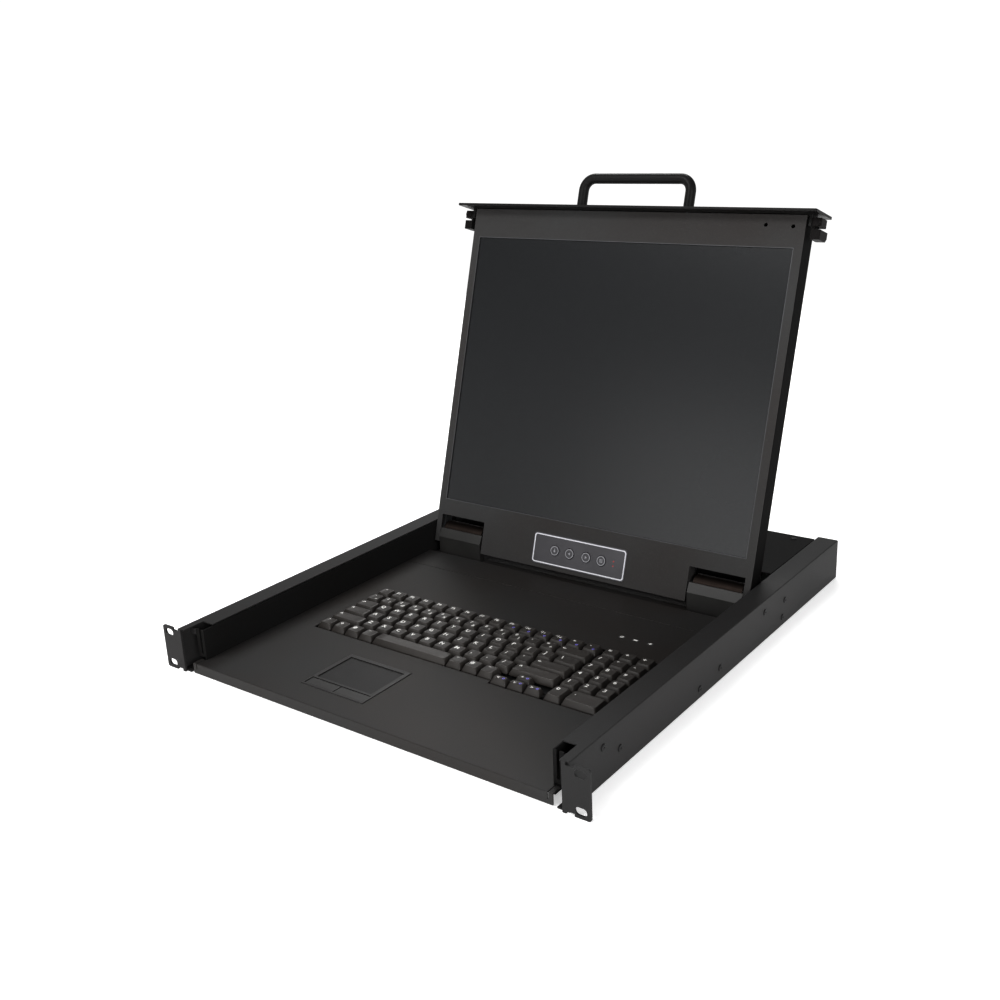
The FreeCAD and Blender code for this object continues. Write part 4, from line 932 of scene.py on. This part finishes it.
def port_inserts():
    """The pins, their blocks and the posts of the eight video sockets."""
    pins = bmesh.new()
    blocks = bmesh.new()
    posts = bmesh.new()
    for low, high in solid_boxes("kvm_port_sockets"):
        cx = (low.x + high.x) / 2
        cz = (low.z + high.z) / 2 + PORT_RAISE
        y = high.y - PORT_DEPTH
        port_pins(pins, cx, y, cz)
        port_block(blocks, cx, y, cz)
        port_posts(posts, cx, y, cz)
    add_piece("port_pins", pins, "drawer", MATERIALS["nickel_shell"])
    add_piece("port_pin_blocks", blocks, "drawer", MATERIALS["port_block"])
    add_piece("port_posts", posts, "drawer", MATERIALS["zinc_steel"])


def rocker_marks():
    """The bar and ring on the two halves of the power switch."""
    low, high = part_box("power_switch")
    centre = (low + high) / 2
    bm = bmesh.new()
    ring_mark(bm, centre.x, centre.z - SWITCH_MARK_OUT, *SWITCH_RING, 0.0)
    bar_mark(bm, centre.x, centre.z + SWITCH_MARK_OUT, *SWITCH_BAR, 0.0)
    face = Matrix.Translation((0.0, high.y - SWITCH_MARK_SINK, 0.0)) @ BEHIND_DRAWER
    add_piece("power_switch_marks", bm, "power_rocker", MATERIALS["white_ink"], face)


# ---- stage -----------------------------------------------------------------------------------
FLOOR_RADIUS = 2.4
FLOOR_GLOW = 0.5

# The sky fades between two heights of the view direction, where 0 is level and 1 is straight up.
HORIZON_GLOW = 1.05
ZENITH_GLOW = 0.25
HORIZON_TOP = 0.12
ZENITH_EDGE = 0.34

CONTRAST_GAMMA = 0.8
LIGHT_TARGET = Vector((0.0, 0.2, 0.1))

# Each softbox: its place, its width and height, and its power in watts.
SOFTBOXES = {
    "front_softbox": ((-1.0, -2.0, 2.5), (1.5, 0.8), 60.0),
    "low_front_softbox": ((-0.45, -2.6, 0.6), (2.4, 1.0), 12.0),
    "back_softbox": ((-0.8, 1.7, 1.7), (1.4, 1.0), 30.0),
    "right_softbox": ((2.2, -1.1, 0.9), (1.2, 0.9), 30.0),
    "top_softbox": ((0.0, -0.2, 2.6), (1.6, 1.6), 10.0),
}


def studio_floor():
    """A round pale floor that touches the lowest point of the object."""
    floor_z = cad_box[0].z
    bm = bmesh.new()
    rim = circle_points(0.0, 0.0, FLOOR_RADIUS, count=96)
    bm.faces.new([bm.verts.new((x, y, floor_z)) for x, y in rim])
    mesh = bpy.data.meshes.new("studio_floor")
    bm.to_mesh(mesh)
    bm.free()
    mesh.materials.append(floor_paint())
    floor = bpy.data.objects.new("studio_floor", mesh)
    bpy.context.scene.collection.objects.link(floor)


def area_light(name, place, size, power):
    """A white softbox that faces the object."""
    light = bpy.data.lights.new(name, "AREA")
    light.shape = "RECTANGLE"
    light.size, light.size_y = size
    light.energy = power
    lamp = bpy.data.objects.new(name, light)
    lamp.location = place
    lamp.rotation_euler = (LIGHT_TARGET - Vector(place)).to_track_quat("-Z", "Y").to_euler()
    bpy.context.scene.collection.objects.link(lamp)


def studio_sky():
    """White round the horizon and dimmer overhead."""
    world = bpy.data.worlds.new("studio")
    world.use_nodes = True
    nodes, links = world.node_tree.nodes, world.node_tree.links
    direction = nodes.new("ShaderNodeTexCoord").outputs["Generated"]
    split = nodes.new("ShaderNodeSeparateXYZ")
    links.new(direction, split.inputs[0])
    glow = remap(nodes, links, split.outputs["Z"], HORIZON_GLOW, ZENITH_GLOW,
                 from_low=HORIZON_TOP, from_high=ZENITH_EDGE)
    links.new(glow, nodes["Background"].inputs["Strength"])
    nodes["Background"].inputs["Color"].default_value = (1.0, 1.0, 1.0, 1.0)
    bpy.context.scene.world = world


def studio_light():
    """The five softboxes, and the view's contrast."""
    bpy.context.scene.view_settings.view_transform = "Standard"
    bpy.context.scene.view_settings.gamma = CONTRAST_GAMMA
    for name, values in SOFTBOXES.items():
        area_light(name, *values)


# ---- camera ----------------------------------------------------------------------------------
CAMERA_PLACE = (0.64029, -0.61598, 0.47987)
CAMERA_AZIMUTH = math.radians(37.29)
CAMERA_ELEVATION = math.radians(18.78)
CAMERA_ROLL = math.radians(-2.65)
CAMERA_LENS = 41.99
SENSOR_WIDTH = 36.0
NEAREST = 0.01


def add_camera():
    """The camera, in front of the object and to its right, tipped down and rolled a little."""
    flat = math.cos(CAMERA_ELEVATION)
    forward = Vector((-math.sin(CAMERA_AZIMUTH) * flat, math.cos(CAMERA_AZIMUTH) * flat,
                      -math.sin(CAMERA_ELEVATION)))
    level = forward.cross(Vector((0.0, 0.0, 1.0))).normalized()
    upright = level.cross(forward)
    right = level * math.cos(CAMERA_ROLL) + upright * math.sin(CAMERA_ROLL)
    up = upright * math.cos(CAMERA_ROLL) - level * math.sin(CAMERA_ROLL)
    turn = Matrix((right, up, -forward)).transposed()
    data = bpy.data.cameras.new("camera")
    data.lens = CAMERA_LENS
    data.sensor_width = SENSOR_WIDTH
    data.clip_start = NEAREST
    camera = bpy.data.objects.new("camera", data)
    camera.matrix_world = Matrix.Translation(CAMERA_PLACE) @ turn.to_4x4()
    bpy.context.scene.collection.objects.link(camera)
    bpy.context.scene.camera = camera


dress_cad_nodes()
keyboard()
touchpad_film()
lock_lamp_symbols()
osd_outline()
osd_marks()
screen_window_edge()
# Painted shade: near-black sheets over the screen housing's long sides.
display_side_painted_shade()
display_back_screws()
port_inserts()
rocker_marks()
studio_floor()
studio_sky()
studio_light()
add_camera()
